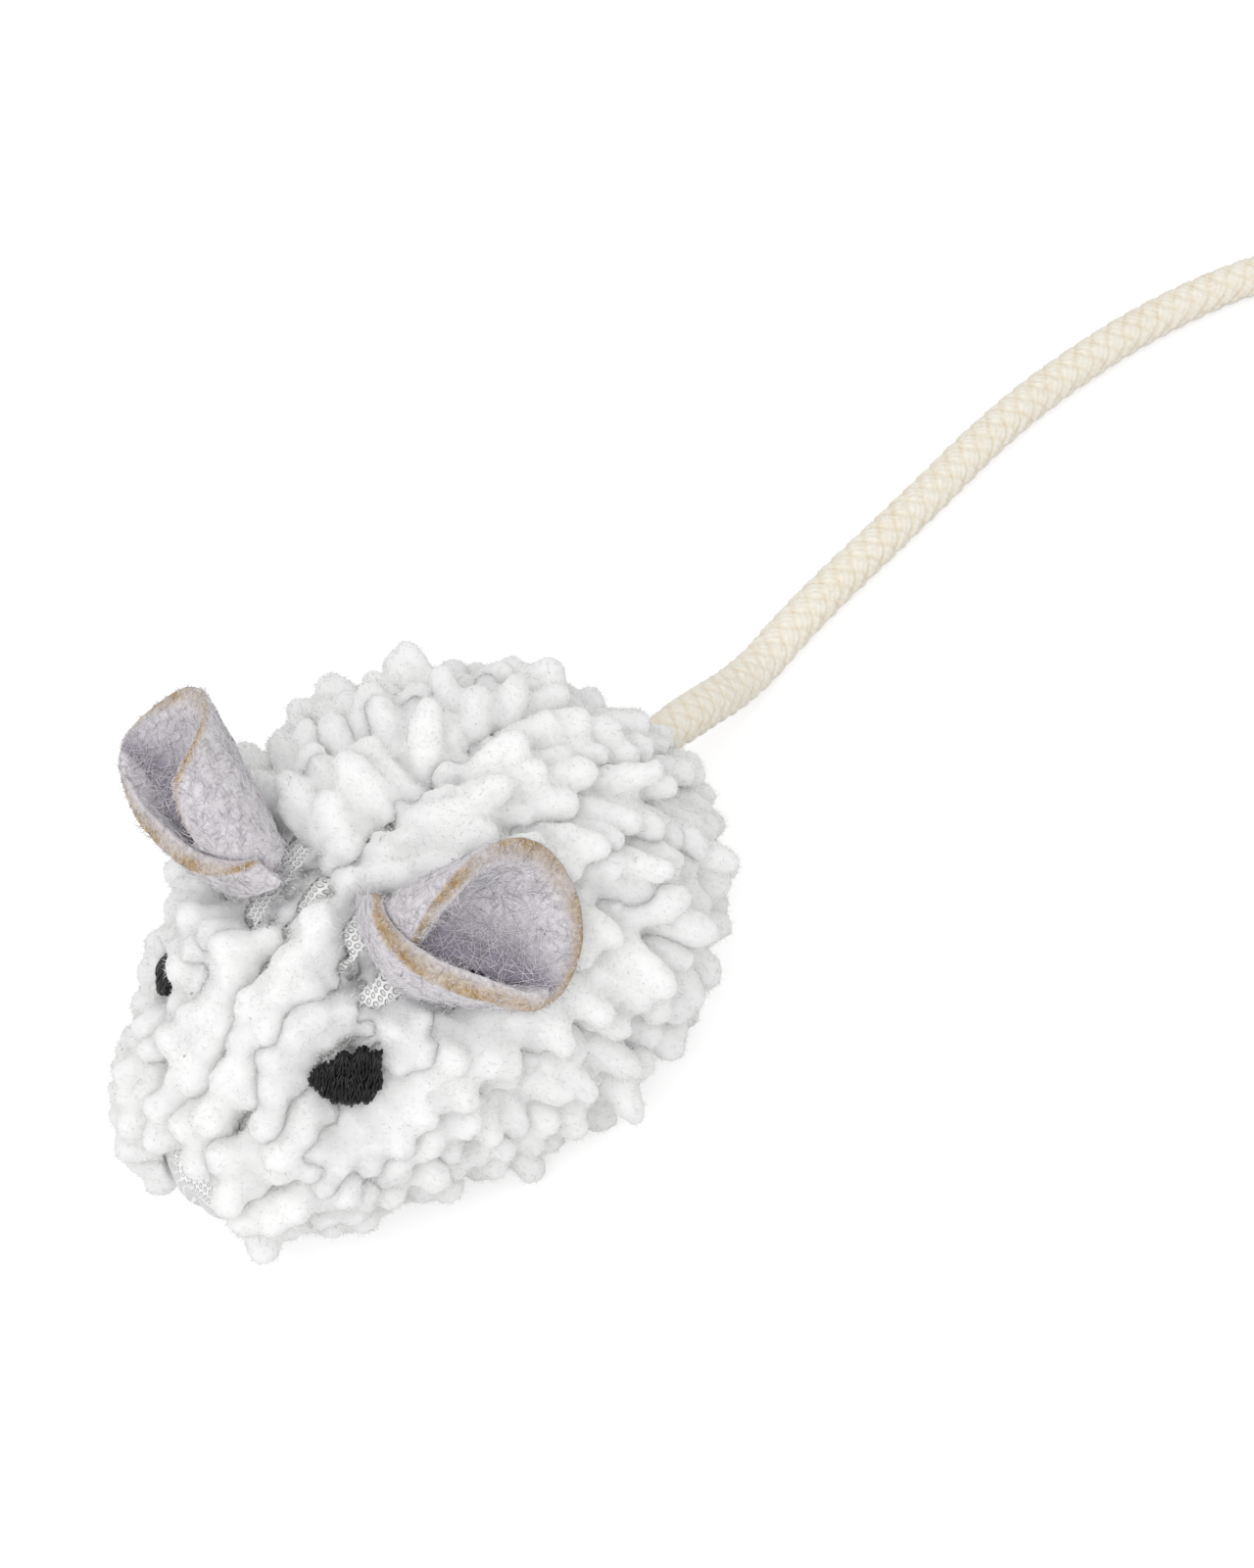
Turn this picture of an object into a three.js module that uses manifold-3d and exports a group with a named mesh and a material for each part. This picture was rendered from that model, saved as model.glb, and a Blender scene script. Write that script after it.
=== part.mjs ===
import * as THREE from 'three';
import { mergeVertices } from 'three/addons/utils/BufferGeometryUtils.js';
import Module from 'manifold-3d';

// A soft catnip mouse: a stuffed body covered with rows of plush noodles, rolled felt ears,
// embroidered eyes and a rope tail. Millimetres, +Z up, nose towards -Y, tail towards +Y.
// The origin is the middle of the flat belly.

const wasm = await Module();
wasm.setup();

// Driving dimensions of the stuffed body.
const bodyLength = 92;
const bodyWidth = 55;
const bodyHeight = 49;
const noseReach = 46.5;
const coverThickness = 1.2;
const pieceGap = 0.35;

// Stations from the nose to the rump: place along the length, width, top and underside.
const stationShares = [
  [0.0, 0.02, 0.367, 0.337],
  [0.016, 0.18, 0.46, 0.224],
  [0.054, 0.35, 0.571, 0.19],
  [0.114, 0.49, 0.7, 0.125],
  [0.19, 0.62, 0.843, 0.065],
  [0.31, 0.761, 0.969, 0.0],
  [0.44, 0.911, 0.992, -0.024],
  [0.582, 1.0, 1.0, -0.03],
  [0.723, 0.96, 0.945, -0.024],
  [0.842, 0.8, 0.815, 0.004],
  [0.929, 0.58, 0.67, 0.082],
  [0.984, 0.3, 0.55, 0.224],
  [1.0, 0.02, 0.429, 0.388],
];
const sectionRoundness = 2.3;
const ringSteps = 24;
const arcParts = 64;
const halvings = 40;
const normalStep = 0.04;
const normalAngle = 0.03;
const frameStep = 0.05;
const widestStep = 7;

// Belly panel and seams.
const bellyHalfWidth = 13;
const bellyFront = -30;
const bellyRear = 33;
const bellyRise = 6;

// Noodle rows: strips of backing that run from the nose to the rump on both sides.
const rowsPerSide = 7;
const rowPitch = 8.4;
const stripWidth = 4.4;
const stripHeight = 1.2;
const stripShare = 0.36;
const stripEndShare = 0.2;
const stripCorners = [[-1, 0], [1, 0], [1, 1], [-1, 1]];
const longRowFront = -43.5;
const longRowRear = 43;
const shortRowFront = -33;
const shortRowRear = 38;
const longRowStagger = 0.3;
const shortRowStagger = 0.7;
const rowSamples = 300;
const noodlePitch = 6;
const noodleRadius = 2.4;
const faceNoodleLength = 6.5;
const bodyNoodleLength = 10.5;
const rumpNoodleLength = 7.5;
const rumpFront = 10;
const lowFaceShare = 0.5;
const lowLeanShare = 0.9;
const lowFaceHeight = 26;
const noodleSides = 5;
const footShare = 0.85;
const footGapShare = 1.5;
const rootShare = 1 / 3;
const shoulderShare = 0.9;
const floorClearance = 0.4;

// Noodles lean forward on the nose and tailward on the back, each a little its own way.
const noseLeanAngle = -0.5;
const backLeanAngle = 0.95;
const steepestLeanAngle = 1.05;
const swayAngle = 0.2;
const wanderAngle = 0.3;
const leanWanderStep = 0.04;
const swayWanderStep = 0.05;
const shortestShare = 0.95;
const lengthSpreadShare = 0.2;
const lengthStepShare = 0.015;

// A noodle is tried again, a little shorter and further off, until it clears its neighbours.
const noodleTries = 30;
const noodleParts = 5;
const startShare = 0.5;
const endShare = 1.3;
const sameRowShare = 1.75;
const neighbourShare = 2.5;
const noodleSeed = 20261;
const randomFactor = 1664525;
const randomStep = 1013904223;
const randomRange = 4294967296;

// Rolled felt ears.
const feltThickness = 2.8;
const earLength = 23;
const earFootDepth = 10;
const earClearDepth = 6;
const earFootHalfWidth = 6.2;
const earFootHalfDepth = 3;
const earRollSteps = 27;
const earHeightSteps = 4;
const earRoundShare = 0.21;
const earWidthPower = 0.8;
const earDepthPower = 0.9;
const earWallShare = 0.8;
const lowestRimShare = 0.02;
const earSwingAngles = [-0.1, 0, 0.075, 0.15];

// Rim heights go along the roll, from the outer flap round the back to the inner flap.
const earRollAngle = -270;
const earTurnAngle = 495;

// Each ear's foot, as its distance in from the side, behind the nose and below the top of the back,
// its pointing and mouth directions, the half-width, half-depth and forward lean of its mouth, how
// far its front bulges and its rim, as for an ear on the left.
const earPoses = {
  left: {
    seat: [13.98, 29.62, 0.96],
    pointing: new THREE.Vector3(0.845, 0.403, 0.351),
    opening: new THREE.Vector3(0.451, -0.89, -0.065),
    mouth: [13.97, 12, -0.98],
    frontShare: 0.35,
    rimShares: [0.03, 0.09, 0.24, 0.54, 0.69, 0.8, 0.76, 0.68, 0.54, 0.29, 0.08, 0.03],
  },
  right: {
    seat: [15.41, 29.47, 1.87],
    pointing: new THREE.Vector3(0.773, -0.065, 0.631),
    opening: new THREE.Vector3(0.23, -0.898, -0.374),
    mouth: [10.16, 11.01, 1.95],
    frontShare: 0.58,
    rimShares: [0.03, 0.14, 0.34, 0.69, 0.95, 0.96, 0.85, 0.73, 0.64, 0.4, 0.2, 0.06],
  },
};

// Embroidered eyes.
const eyeAlong = -29.5;
const eyeRoundShare = 0.265;
const eyeRadius = 4.3;
const eyeThickness = 1.6;
const eyePoints = 22;
const eyeNotchShare = 0.12;
const eyeRoughShare = 0.08;
const eyeCutShare = 6;

// Rope tail and its knots. The route starts where the rope leaves the rump.
const ropeRadius = 3;
const ropeSides = 8;
const ropeSteps = 46;
const ropeHoleRadius = 3.85;
const ropeHoleDepth = 12;
const ropeHoleSides = 12;
const tailSwingAngle = 0.4014;
const tailSwingParts = 4;
const tailSamples = 120;
const tailExitInset = 1;
const tailRoute = [
  [0, 0, 21.2],
  [0, 4.5, 20.9],
  [-0.6, 11.5, 18.6],
  [-1.7, 18.5, 15.6],
  [-3.2, 26.5, 11.6],
  [-4.8, 34.5, 7.4],
  [-6.2, 42.5, 4.4],
  [-7.2, 50.5, 3.2],
  [-7.8, 59.5, 3.05],
  [-8.1, 70.5, 3.05],
  [-8.2, 83.5, 3.05],
  [-8.4, 97.5, 3.05],
  [-8.7, 111.5, 3.05],
  [-8.2, 125.5, 3.05],
  [-6.9, 137.5, 3.05],
  [-4.9, 149.5, 3.05],
  [-2, 161.5, 3.05],
  [2, 173.5, 3.05],
  [6.6, 183.5, 3.4],
  [11.4, 192.5, 5.4],
  [15.6, 199.5, 6.9],
  [19.5, 206, 7.05],
];
const endKnotLength = 15;
const endKnotRadius = 7;
const endKnotTuft = 9;
const tuftShare = 1.6;
const anchorKnotLength = 11;
const anchorKnotRadius = 6.2;
const knotSides = 10;
const knotShares = [[0.9, 0.2], [1, 0.42], [0.93, 0.55], [1, 0.68]];
const knotEndShare = 0.75;

// Filling and the pouch of catnip inside it.
const fillingSplit = -4;
const pouchLength = 34;
const pouchWidth = 26;
const pouchHeight = 14;
const pouchCloth = 0.8;
const pouchCentreHeight = 24;
const pouchSides = 16;
const pouchRings = 10;
const weldDistance = 0.0001;

const radians = Math.PI / 180;
const upward = new THREE.Vector3(0, 0, 1);
const lastStep = stationShares.length - 1;
const restGap = pieceGap + stripHeight + pieceGap;

// Colours and finishes.
const noodlePlush = { color: 0xeeefec, roughness: 0.95, metalness: 0 };
const backingNet = { color: 0xf2f2f0, roughness: 0.8, metalness: 0 };
const greyFelt = { color: 0xaaa4ac, roughness: 0.95, metalness: 0 };
const blackThread = { color: 0x1d1d1f, roughness: 0.7, metalness: 0 };
const cottonRope = { color: 0xe6dfcf, roughness: 0.9, metalness: 0 };
const fibreFill = { color: 0xf4f4f2, roughness: 1, metalness: 0 };
const pouchFabric = { color: 0xd8d2c4, roughness: 0.9, metalness: 0 };
const driedHerb = { color: 0x6f7a46, roughness: 1, metalness: 0 };

const mouse = new THREE.Group();
mouse.name = 'catnip_mouse';

// Repeatable random numbers from 0 to 1.
let randomState = noodleSeed;
function random() {
  randomState = (randomState * randomFactor + randomStep) % randomRange;
  return randomState / randomRange;
}

// A closed three.js geometry as a manifold solid.
function solidOf(geometry) {
  const bare = geometry.index ? geometry.toNonIndexed() : geometry.clone();
  bare.deleteAttribute('normal');
  bare.deleteAttribute('uv');
  const merged = mergeVertices(bare, weldDistance);
  const vertProperties = new Float32Array(merged.attributes.position.array);
  const triVerts = new Uint32Array(merged.index.array);
  return new wasm.Manifold(new wasm.Mesh({ numProp: 3, vertProperties, triVerts }));
}

// A named mesh from a manifold solid.
function addPiece(name, solid, finish) {
  const result = solid.getMesh();
  const geometry = new THREE.BufferGeometry();
  geometry.setAttribute('position', new THREE.BufferAttribute(new Float32Array(result.vertProperties), 3));
  geometry.setIndex(new THREE.BufferAttribute(new Uint32Array(result.triVerts), 1));
  geometry.computeVertexNormals();
  const mesh = new THREE.Mesh(geometry, new THREE.MeshStandardMaterial(finish));
  mesh.name = name;
  mouse.add(mesh);
  return mesh;
}

// A closed geometry from a list of points and triangles.
function geometryOf(points, triangles) {
  const geometry = new THREE.BufferGeometry();
  const places = points.flatMap((point) => point.toArray());
  geometry.setAttribute('position', new THREE.Float32BufferAttribute(places, 3));
  geometry.setIndex(triangles.flat());
  return geometry;
}

// A box between two corners.
function boxSolid(low, high) {
  const size = new THREE.Vector3().subVectors(high, low);
  const box = new THREE.BoxGeometry(size.x, size.y, size.z);
  box.translate((low.x + high.x) / 2, (low.y + high.y) / 2, (low.z + high.z) / 2);
  return solidOf(box);
}

// A smooth curve through a list of values, read at a fractional place in the list.
function smoothValue(values, place) {
  const last = values.length - 1;
  const index = Math.min(Math.floor(place), last - 1);
  const share = place - index;
  const [before, start, end, after] = [index - 1, index, index + 1, index + 2].map(
    (row) => values[Math.min(Math.max(row, 0), last)],
  );
  const slopeIn = (end - before) / 2;
  const slopeOut = (after - start) / 2;
  const cubed = 2 * (start - end) + slopeIn + slopeOut;
  const squared = 3 * (end - start) - 2 * slopeIn - slopeOut;
  return start + share * (slopeIn + share * (squared + share * cubed));
}

// The stations are joined by a smooth curve in each column.
function stationAt(step) {
  const column = (index) => smoothValue(stationShares.map((station) => station[index]), step);
  return {
    along: column(0) * bodyLength - noseReach,
    halfWidth: (column(1) * bodyWidth) / 2,
    top: column(2) * bodyHeight,
    bottom: column(3) * bodyHeight,
  };
}

// The station step at a place along the length.
function stepAtLength(along) {
  let low = 0;
  let high = stationShares.length - 1;
  for (let halving = 0; halving < halvings; halving += 1) {
    const middle = (low + high) / 2;
    if (stationAt(middle).along < along) low = middle;
    else high = middle;
  }
  return (low + high) / 2;
}

// One point of a cross-section, at an angle from the top, with the underside kept flat.
function sectionPoint(step, angle) {
  const station = stationAt(step);
  const sine = Math.sin(angle);
  const cosine = Math.cos(angle);
  const middle = (station.top + station.bottom) / 2;
  const rise = (station.top - station.bottom) / 2;
  const x = Math.sign(sine) * Math.abs(sine) ** (2 / sectionRoundness) * station.halfWidth;
  const z = middle + Math.sign(cosine) * Math.abs(cosine) ** (2 / sectionRoundness) * rise;
  return new THREE.Vector3(x, station.along, Math.max(z, 0));
}

// The angle at a share of the way round from the top to the underside, by arc length.
const ringCache = new Map();
function arcLengths(step) {
  if (!ringCache.has(step)) {
    const lengths = [0];
    let before = sectionPoint(step, 0);
    for (let part = 1; part <= arcParts; part += 1) {
      const next = sectionPoint(step, (part / arcParts) * Math.PI);
      lengths.push(lengths[part - 1] + next.distanceTo(before));
      before = next;
    }
    ringCache.set(step, lengths);
  }
  return ringCache.get(step);
}

function angleAtShare(step, share) {
  const lengths = arcLengths(step);
  const target = Math.abs(share) * lengths[arcParts];
  let part = 1;
  while (part < arcParts && lengths[part] < target) part += 1;
  const within = (target - lengths[part - 1]) / (lengths[part] - lengths[part - 1]);
  return Math.sign(share) * ((part - 1 + within) / arcParts) * Math.PI;
}

// A point of the skin and its outward direction.
function skinPoint(step, share) {
  return sectionPoint(step, angleAtShare(step, share));
}

function skinNormal(step, share) {
  const ahead = Math.min(step + normalStep, lastStep);
  const behind = Math.max(step - normalStep, 0);
  const angle = angleAtShare(step, share);
  const along = sectionPoint(ahead, angle).sub(sectionPoint(behind, angle));
  const round = sectionPoint(step, angle + normalAngle).sub(sectionPoint(step, angle - normalAngle));
  return new THREE.Vector3().crossVectors(round, along).normalize();
}

// The whole body form, moved out or in by an even distance.
function bodySolid(growth) {
  const points = [];
  const triangles = [];
  for (let ring = 0; ring <= lastStep; ring += 1) {
    for (let spoke = 0; spoke < ringSteps; spoke += 1) {
      const share = -1 + (2 * spoke) / ringSteps;
      const normal = skinNormal(ring, share);
      if (ring === 0) normal.set(0, -1, 0);
      if (ring === lastStep) normal.set(0, 1, 0);
      points.push(skinPoint(ring, share).addScaledVector(normal, growth));
    }
  }
  const nose = points.length;
  points.push(new THREE.Vector3(0, stationAt(0).along - growth, middleHeight(0)));
  const rump = points.length;
  points.push(new THREE.Vector3(0, stationAt(lastStep).along + growth, middleHeight(lastStep)));
  for (let spoke = 0; spoke < ringSteps; spoke += 1) {
    const next = (spoke + 1) % ringSteps;
    triangles.push([nose, next, spoke]);
    const base = lastStep * ringSteps;
    triangles.push([rump, base + spoke, base + next]);
    for (let ring = 0; ring < lastStep; ring += 1) {
      const here = ring * ringSteps;
      const there = here + ringSteps;
      triangles.push([here + spoke, there + next, there + spoke]);
      triangles.push([here + spoke, here + next, there + next]);
    }
  }
  return solidOf(geometryOf(points, triangles));
}

function middleHeight(step) {
  const station = stationAt(step);
  return (station.top + station.bottom) / 2;
}

// Half the way round a cross-section, from the top to the underside.
function halfRound(step) {
  return arcLengths(step).at(-1);
}

// The outward, tailward and sideways directions of the skin.
function skinFrame(step, share) {
  const normal = skinNormal(step, share);
  const ahead = skinPoint(Math.min(step + frameStep, lastStep), share);
  const behind = skinPoint(Math.max(step - frameStep, 0), share);
  const tailward = ahead.sub(behind);
  tailward.addScaledVector(normal, -tailward.dot(normal)).normalize();
  const sideways = new THREE.Vector3().crossVectors(normal, tailward);
  return { normal, tailward, sideways };
}

// The distance between rows, which close up where the body is slimmer.
function localPitch(step) {
  return (rowPitch * halfRound(step)) / halfRound(widestStep);
}

// The frame of an ear: its base, its pointing, opening, seam and foot directions and its shape.
function earFrame({ seat, pointing, opening, mouth, frontShare, rimShares }) {
  const base = new THREE.Vector3(bodyWidth / 2 - seat[0], seat[1] - noseReach, bodyHeight - seat[2]);
  pointing.normalize();
  opening.addScaledVector(pointing, -opening.dot(pointing)).normalize();
  const seam = new THREE.Vector3().crossVectors(opening, pointing);
  const foot = skinNormal(stepAtLength(base.y), earRoundShare);
  return { base, pointing, opening, seam, foot, mouth, frontShare, rimShares };
}

const earFrames = { left: earFrame(earPoses.left), right: earFrame(earPoses.right) };

// Half-width and half-depth of a rolled ear at a height from its foot and a roll angle in radians.
function earLoop(frame, height, roll) {
  const [mouthHalfWidth, mouthHalfDepth, leanForward] = frame.mouth;
  const share = Math.min(Math.max(height / earLength, 0), 1);
  const bulge = THREE.MathUtils.lerp(1, frame.frontShare, (1 - Math.cos(roll)) / 2);
  return {
    halfWidth: THREE.MathUtils.lerp(earFootHalfWidth, mouthHalfWidth, share ** earWidthPower),
    halfDepth: THREE.MathUtils.lerp(earFootHalfDepth, mouthHalfDepth * bulge, share ** earDepthPower),
    forward: leanForward * share,
  };
}

// Rim height at a roll angle in degrees.
function earRim(frame, roll) {
  const place = ((roll - earRollAngle) / earTurnAngle) * (frame.rimShares.length - 1);
  return Math.max(smoothValue(frame.rimShares, place), lowestRimShare) * earLength;
}

// A point of an ear's felt. The roll winds inward, so its flaps overlap.
function earPoint(frame, height, roll, outward) {
  const loop = earLoop(frame, height, roll * radians);
  const wound = outward - (roll / 360) * (feltThickness + pieceGap);
  const depth = -Math.cos(roll * radians) * (loop.halfDepth + wound) + loop.forward;
  const width = Math.sin(roll * radians) * (loop.halfWidth + wound);
  const point = frame.base.clone();
  point.addScaledVector(height > 0 ? frame.pointing : frame.foot, height);
  point.addScaledVector(frame.opening, depth);
  point.addScaledVector(frame.seam, width);
  return point;
}

// The felt of an ear as one closed sheet.
function earGeometry(frame) {
  const points = [];
  const triangles = [];
  const rows = earHeightSteps + 2;
  const rim = rows - 1;
  const end = earRollSteps;
  const index = (layer, column, row) => (layer * (earRollSteps + 1) + column) * rows + row;
  for (const outward of [-feltThickness / 2, feltThickness / 2]) {
    for (let column = 0; column <= earRollSteps; column += 1) {
      const roll = earRollAngle + (earTurnAngle * column) / earRollSteps;
      points.push(earPoint(frame, -earFootDepth, roll, outward));
      for (let row = 0; row <= earHeightSteps; row += 1) {
        const height = (earRim(frame, roll) * row) / earHeightSteps;
        points.push(earPoint(frame, height, roll, outward));
      }
    }
  }
  const quad = (a, b, c, d) => triangles.push([a, b, c], [a, c, d]);
  for (let column = 0; column < end; column += 1) {
    const next = column + 1;
    for (let row = 0; row < rim; row += 1) {
      quad(index(0, column, row), index(0, column, row + 1), index(0, next, row + 1), index(0, next, row));
      quad(index(1, column, row), index(1, next, row), index(1, next, row + 1), index(1, column, row + 1));
    }
    quad(index(0, column, rim), index(1, column, rim), index(1, next, rim), index(0, next, rim));
    quad(index(0, column, 0), index(0, next, 0), index(1, next, 0), index(1, column, 0));
  }
  for (let row = 0; row < rim; row += 1) {
    quad(index(0, 0, row), index(1, 0, row), index(1, 0, row + 1), index(0, 0, row + 1));
    quad(index(0, end, row), index(0, end, row + 1), index(1, end, row + 1), index(1, end, row));
  }
  return geometryOf(points, triangles);
}

// The place of a point in the ear's own frame when the ear is swung by an angle.
function earPlace(frame, point, swing) {
  const away = point.clone().sub(frame.base);
  const height = away.dot(frame.pointing);
  const depth = away.dot(frame.opening);
  return {
    height: height * Math.cos(swing) + depth * Math.sin(swing),
    depth: depth * Math.cos(swing) - height * Math.sin(swing),
    width: away.dot(frame.seam),
  };
}

// Distance from a point to the space that an ear sweeps.
function earClearance(point) {
  const frame = point.x > 0 ? earFrames.left : earFrames.right;
  const mirrored = new THREE.Vector3(Math.abs(point.x), point.y, point.z);
  let least = Infinity;
  for (const swing of earSwingAngles) {
    const place = earPlace(frame, mirrored, swing);
    const loop = earLoop(frame, place.height, Math.atan2(place.width, -place.depth));
    const halfDepth = loop.halfDepth + feltThickness * earWallShare;
    const halfWidth = loop.halfWidth + feltThickness * earWallShare;
    const ratio = Math.hypot((place.depth - loop.forward) / halfDepth, place.width / halfWidth);
    const beside = (ratio - 1) * Math.min(halfDepth, halfWidth);
    const beyond = Math.max(place.height - earLength, -earClearDepth - place.height);
    least = Math.min(least, Math.max(beside, beyond));
  }
  return least;
}

// The tail's centre line.
const tailExit = bodyLength - noseReach - tailExitInset;
const tailPlaces = tailRoute.map(([x, along, z]) => new THREE.Vector3(x, tailExit + along, z));
const ropeCurve = new THREE.CatmullRomCurve3(tailPlaces, false, 'centripetal');

// Distance from a point to the centre line of the rope as the tail swings.
const tailPoints = ropeCurve.getSpacedPoints(tailSamples).filter((point) => point.y < bodyLength);
function tailClearance(point) {
  const pivot = ropeCurve.getPoint(0);
  let least = Infinity;
  for (let turn = -tailSwingParts; turn <= tailSwingParts; turn += 1) {
    const angle = (turn / tailSwingParts) * tailSwingAngle;
    const swung = point.clone().sub(pivot).applyAxisAngle(upward, angle).add(pivot);
    for (const place of tailPoints) least = Math.min(least, place.distanceTo(swung));
  }
  return least;
}

// The middles of the two eyes.
const eyeNormal = skinNormal(stepAtLength(eyeAlong), eyeRoundShare);
const eyeSkin = skinPoint(stepAtLength(eyeAlong), eyeRoundShare);
const eyeLeft = eyeSkin.clone().addScaledVector(eyeNormal, restGap + eyeThickness / 2);
const eyeRight = new THREE.Vector3(-eyeLeft.x, eyeLeft.y, eyeLeft.z);

// Least distance between two straight noodles, measured on points along both.
function noodleDistance(first, second) {
  let least = Infinity;
  for (const place of first.places) {
    for (const other of second.places) least = Math.min(least, place.distanceTo(other));
  }
  return least;
}

// Noodles lean towards the nose on the face, and tailward on the back and under the cheeks.
function noodleLean(skin) {
  const back = THREE.MathUtils.smoothstep(skin.y, longRowFront, 0);
  const low = 1 - THREE.MathUtils.smoothstep(skin.z, 0, lowFaceHeight);
  return THREE.MathUtils.lerp(noseLeanAngle, backLeanAngle, Math.max(back, low * lowLeanShare));
}

// Noodles are short on the face, shorter still under the cheeks, and long on the back.
function noodleLength(skin) {
  const back = THREE.MathUtils.smoothstep(skin.y, shortRowFront, 0);
  const rump = THREE.MathUtils.smoothstep(skin.y, rumpFront, longRowRear);
  const high = Math.max(back, THREE.MathUtils.smoothstep(skin.z, 0, lowFaceHeight));
  const length = THREE.MathUtils.lerp(faceNoodleLength, bodyNoodleLength, back);
  const cheekShare = THREE.MathUtils.lerp(lowFaceShare, 1, high);
  return THREE.MathUtils.lerp(length, rumpNoodleLength, rump) * cheekShare;
}

// A random turn to either side, wider with each attempt.
function wander(attempt, widening) {
  return (random() - 0.5) * (wanderAngle + attempt * widening);
}

// Whether a place in a noodle is clear of the ears, the tail and the eyes.
function clearOfOthers(place) {
  return (
    earClearance(place) > noodleRadius + pieceGap &&
    tailClearance(place) > noodleRadius + ropeRadius + pieceGap &&
    place.distanceTo(eyeLeft) > noodleRadius + eyeRadius + pieceGap &&
    place.distanceTo(eyeRight) > noodleRadius + eyeRadius + pieceGap
  );
}

const noodles = [];

// One noodle that clears its neighbours, or nothing where there is no room.
function growNoodle(step, share, row, turn) {
  const frame = skinFrame(step, share);
  const skin = skinPoint(step, share);
  const base = skin.clone().addScaledVector(frame.normal, pieceGap + stripHeight * rootShare);
  const footRoom = (1 - stripShare) * localPitch(step) - footGapShare * pieceGap;
  const footRadius = Math.min(noodleRadius * footShare, footRoom);
  const lowest = noodleRadius + floorClearance;
  for (let attempt = 0; attempt < noodleTries; attempt += 1) {
    const wanted = noodleLean(skin) + wander(attempt, leanWanderStep);
    const lean = THREE.MathUtils.clamp(wanted, -steepestLeanAngle, steepestLeanAngle);
    const sway = turn * swayAngle + wander(attempt, swayWanderStep);
    const direction = frame.normal.clone().multiplyScalar(Math.cos(lean) * Math.cos(sway));
    direction.addScaledVector(frame.tailward, Math.sin(lean) * Math.cos(sway));
    direction.addScaledVector(frame.sideways, Math.sin(sway));
    const lengthShare = shortestShare + random() * lengthSpreadShare - attempt * lengthStepShare;
    const length = noodleLength(skin) * lengthShare;
    const droop = base.z + direction.z * length;
    if (droop < lowest) direction.z += (lowest - droop) / length;
    direction.normalize();
    const places = [];
    for (let part = 0; part <= noodleParts; part += 1) {
      const share = part / noodleParts;
      const reach = noodleRadius * startShare + share * (length - noodleRadius * endShare);
      places.push(base.clone().addScaledVector(direction, reach));
    }
    const noodle = { base, frame, direction, length, footRadius, row, places };
    const apart = noodles.every((other) => {
      if (other.base.distanceTo(base) > bodyNoodleLength * neighbourShare) return true;
      const need = other.row === row ? noodleRadius * sameRowShare : noodleRadius * 2 + pieceGap;
      return noodleDistance(noodle, other) > need;
    });
    if (apart && places.every(clearOfOthers)) return noodle;
  }
  return null;
}

// A tapered finger: a foot that lies along the backing, a shoulder and a blunt tip.
function noodleSolid(noodle) {
  const points = [];
  const triangles = [];
  const { base, frame, direction, length, footRadius } = noodle;
  const across = frame.tailward.clone();
  across.addScaledVector(direction, -across.dot(direction)).normalize();
  const beside = new THREE.Vector3().crossVectors(direction, across);
  const shoulder = base.clone().addScaledVector(direction, length - noodleRadius * shoulderShare);
  for (let side = 0; side < noodleSides; side += 1) {
    const angle = (side / noodleSides) * 2 * Math.PI;
    const cosine = Math.cos(angle) * noodleRadius;
    const sine = Math.sin(angle) * noodleRadius;
    const foot = base.clone().addScaledVector(frame.tailward, Math.cos(angle) * footRadius);
    points.push(foot.addScaledVector(frame.sideways, Math.sin(angle) * footRadius));
    points.push(shoulder.clone().addScaledVector(across, cosine).addScaledVector(beside, sine));
  }
  const tip = points.length;
  points.push(base.clone().addScaledVector(direction, length));
  for (let side = 0; side < noodleSides; side += 1) {
    const next = (side + 1) % noodleSides;
    const [low, high, nextLow, nextHigh] = [side * 2, side * 2 + 1, next * 2, next * 2 + 1];
    triangles.push([low, nextLow, nextHigh], [low, nextHigh, high], [high, nextHigh, tip]);
    if (side > 0 && next > 0) triangles.push([0, nextLow, low]);
  }
  return solidOf(geometryOf(points, triangles));
}

// The strip of backing that the noodles of a row stand on.
function stripSolid(front, rear, share) {
  const first = stepAtLength(front);
  const last = stepAtLength(rear);
  const steps = [first];
  for (let step = Math.ceil(first + stripEndShare); step < last - stripEndShare; step += 1) {
    steps.push(step);
  }
  steps.push(last);
  const points = [];
  const triangles = [];
  for (const step of steps) {
    const frame = skinFrame(step, share);
    const skin = skinPoint(step, share);
    const halfWidth = Math.min(stripWidth / 2, stripShare * localPitch(step));
    for (const [side, rise] of stripCorners) {
      const point = skin.clone().addScaledVector(frame.sideways, side * halfWidth);
      points.push(point.addScaledVector(frame.normal, pieceGap + rise * stripHeight));
    }
  }
  const corners = stripCorners.length;
  for (let ring = 0; ring < steps.length - 1; ring += 1) {
    for (let corner = 0; corner < corners; corner += 1) {
      const here = ring * corners + corner;
      const beside = ring * corners + ((corner + 1) % corners);
      triangles.push([here, beside, beside + corners], [here, beside + corners, here + corners]);
    }
  }
  const end = points.length - corners;
  triangles.push([0, 3, 2], [0, 2, 1], [end, end + 1, end + 2], [end, end + 2, end + 3]);
  return solidOf(geometryOf(points, triangles));
}

// Places along a row, one noodle pitch apart.
function rowPlaces(front, rear, share, stagger) {
  const places = [];
  const first = stepAtLength(front);
  const last = stepAtLength(rear);
  let before = skinPoint(first, share);
  let travelled = noodlePitch * (1 - stagger);
  for (let part = 1; part <= rowSamples; part += 1) {
    const step = first + ((last - first) * part) / rowSamples;
    const next = skinPoint(step, share);
    travelled += next.distanceTo(before);
    before = next;
    if (travelled >= noodlePitch) {
      travelled -= noodlePitch;
      places.push(step);
    }
  }
  return places;
}

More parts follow.
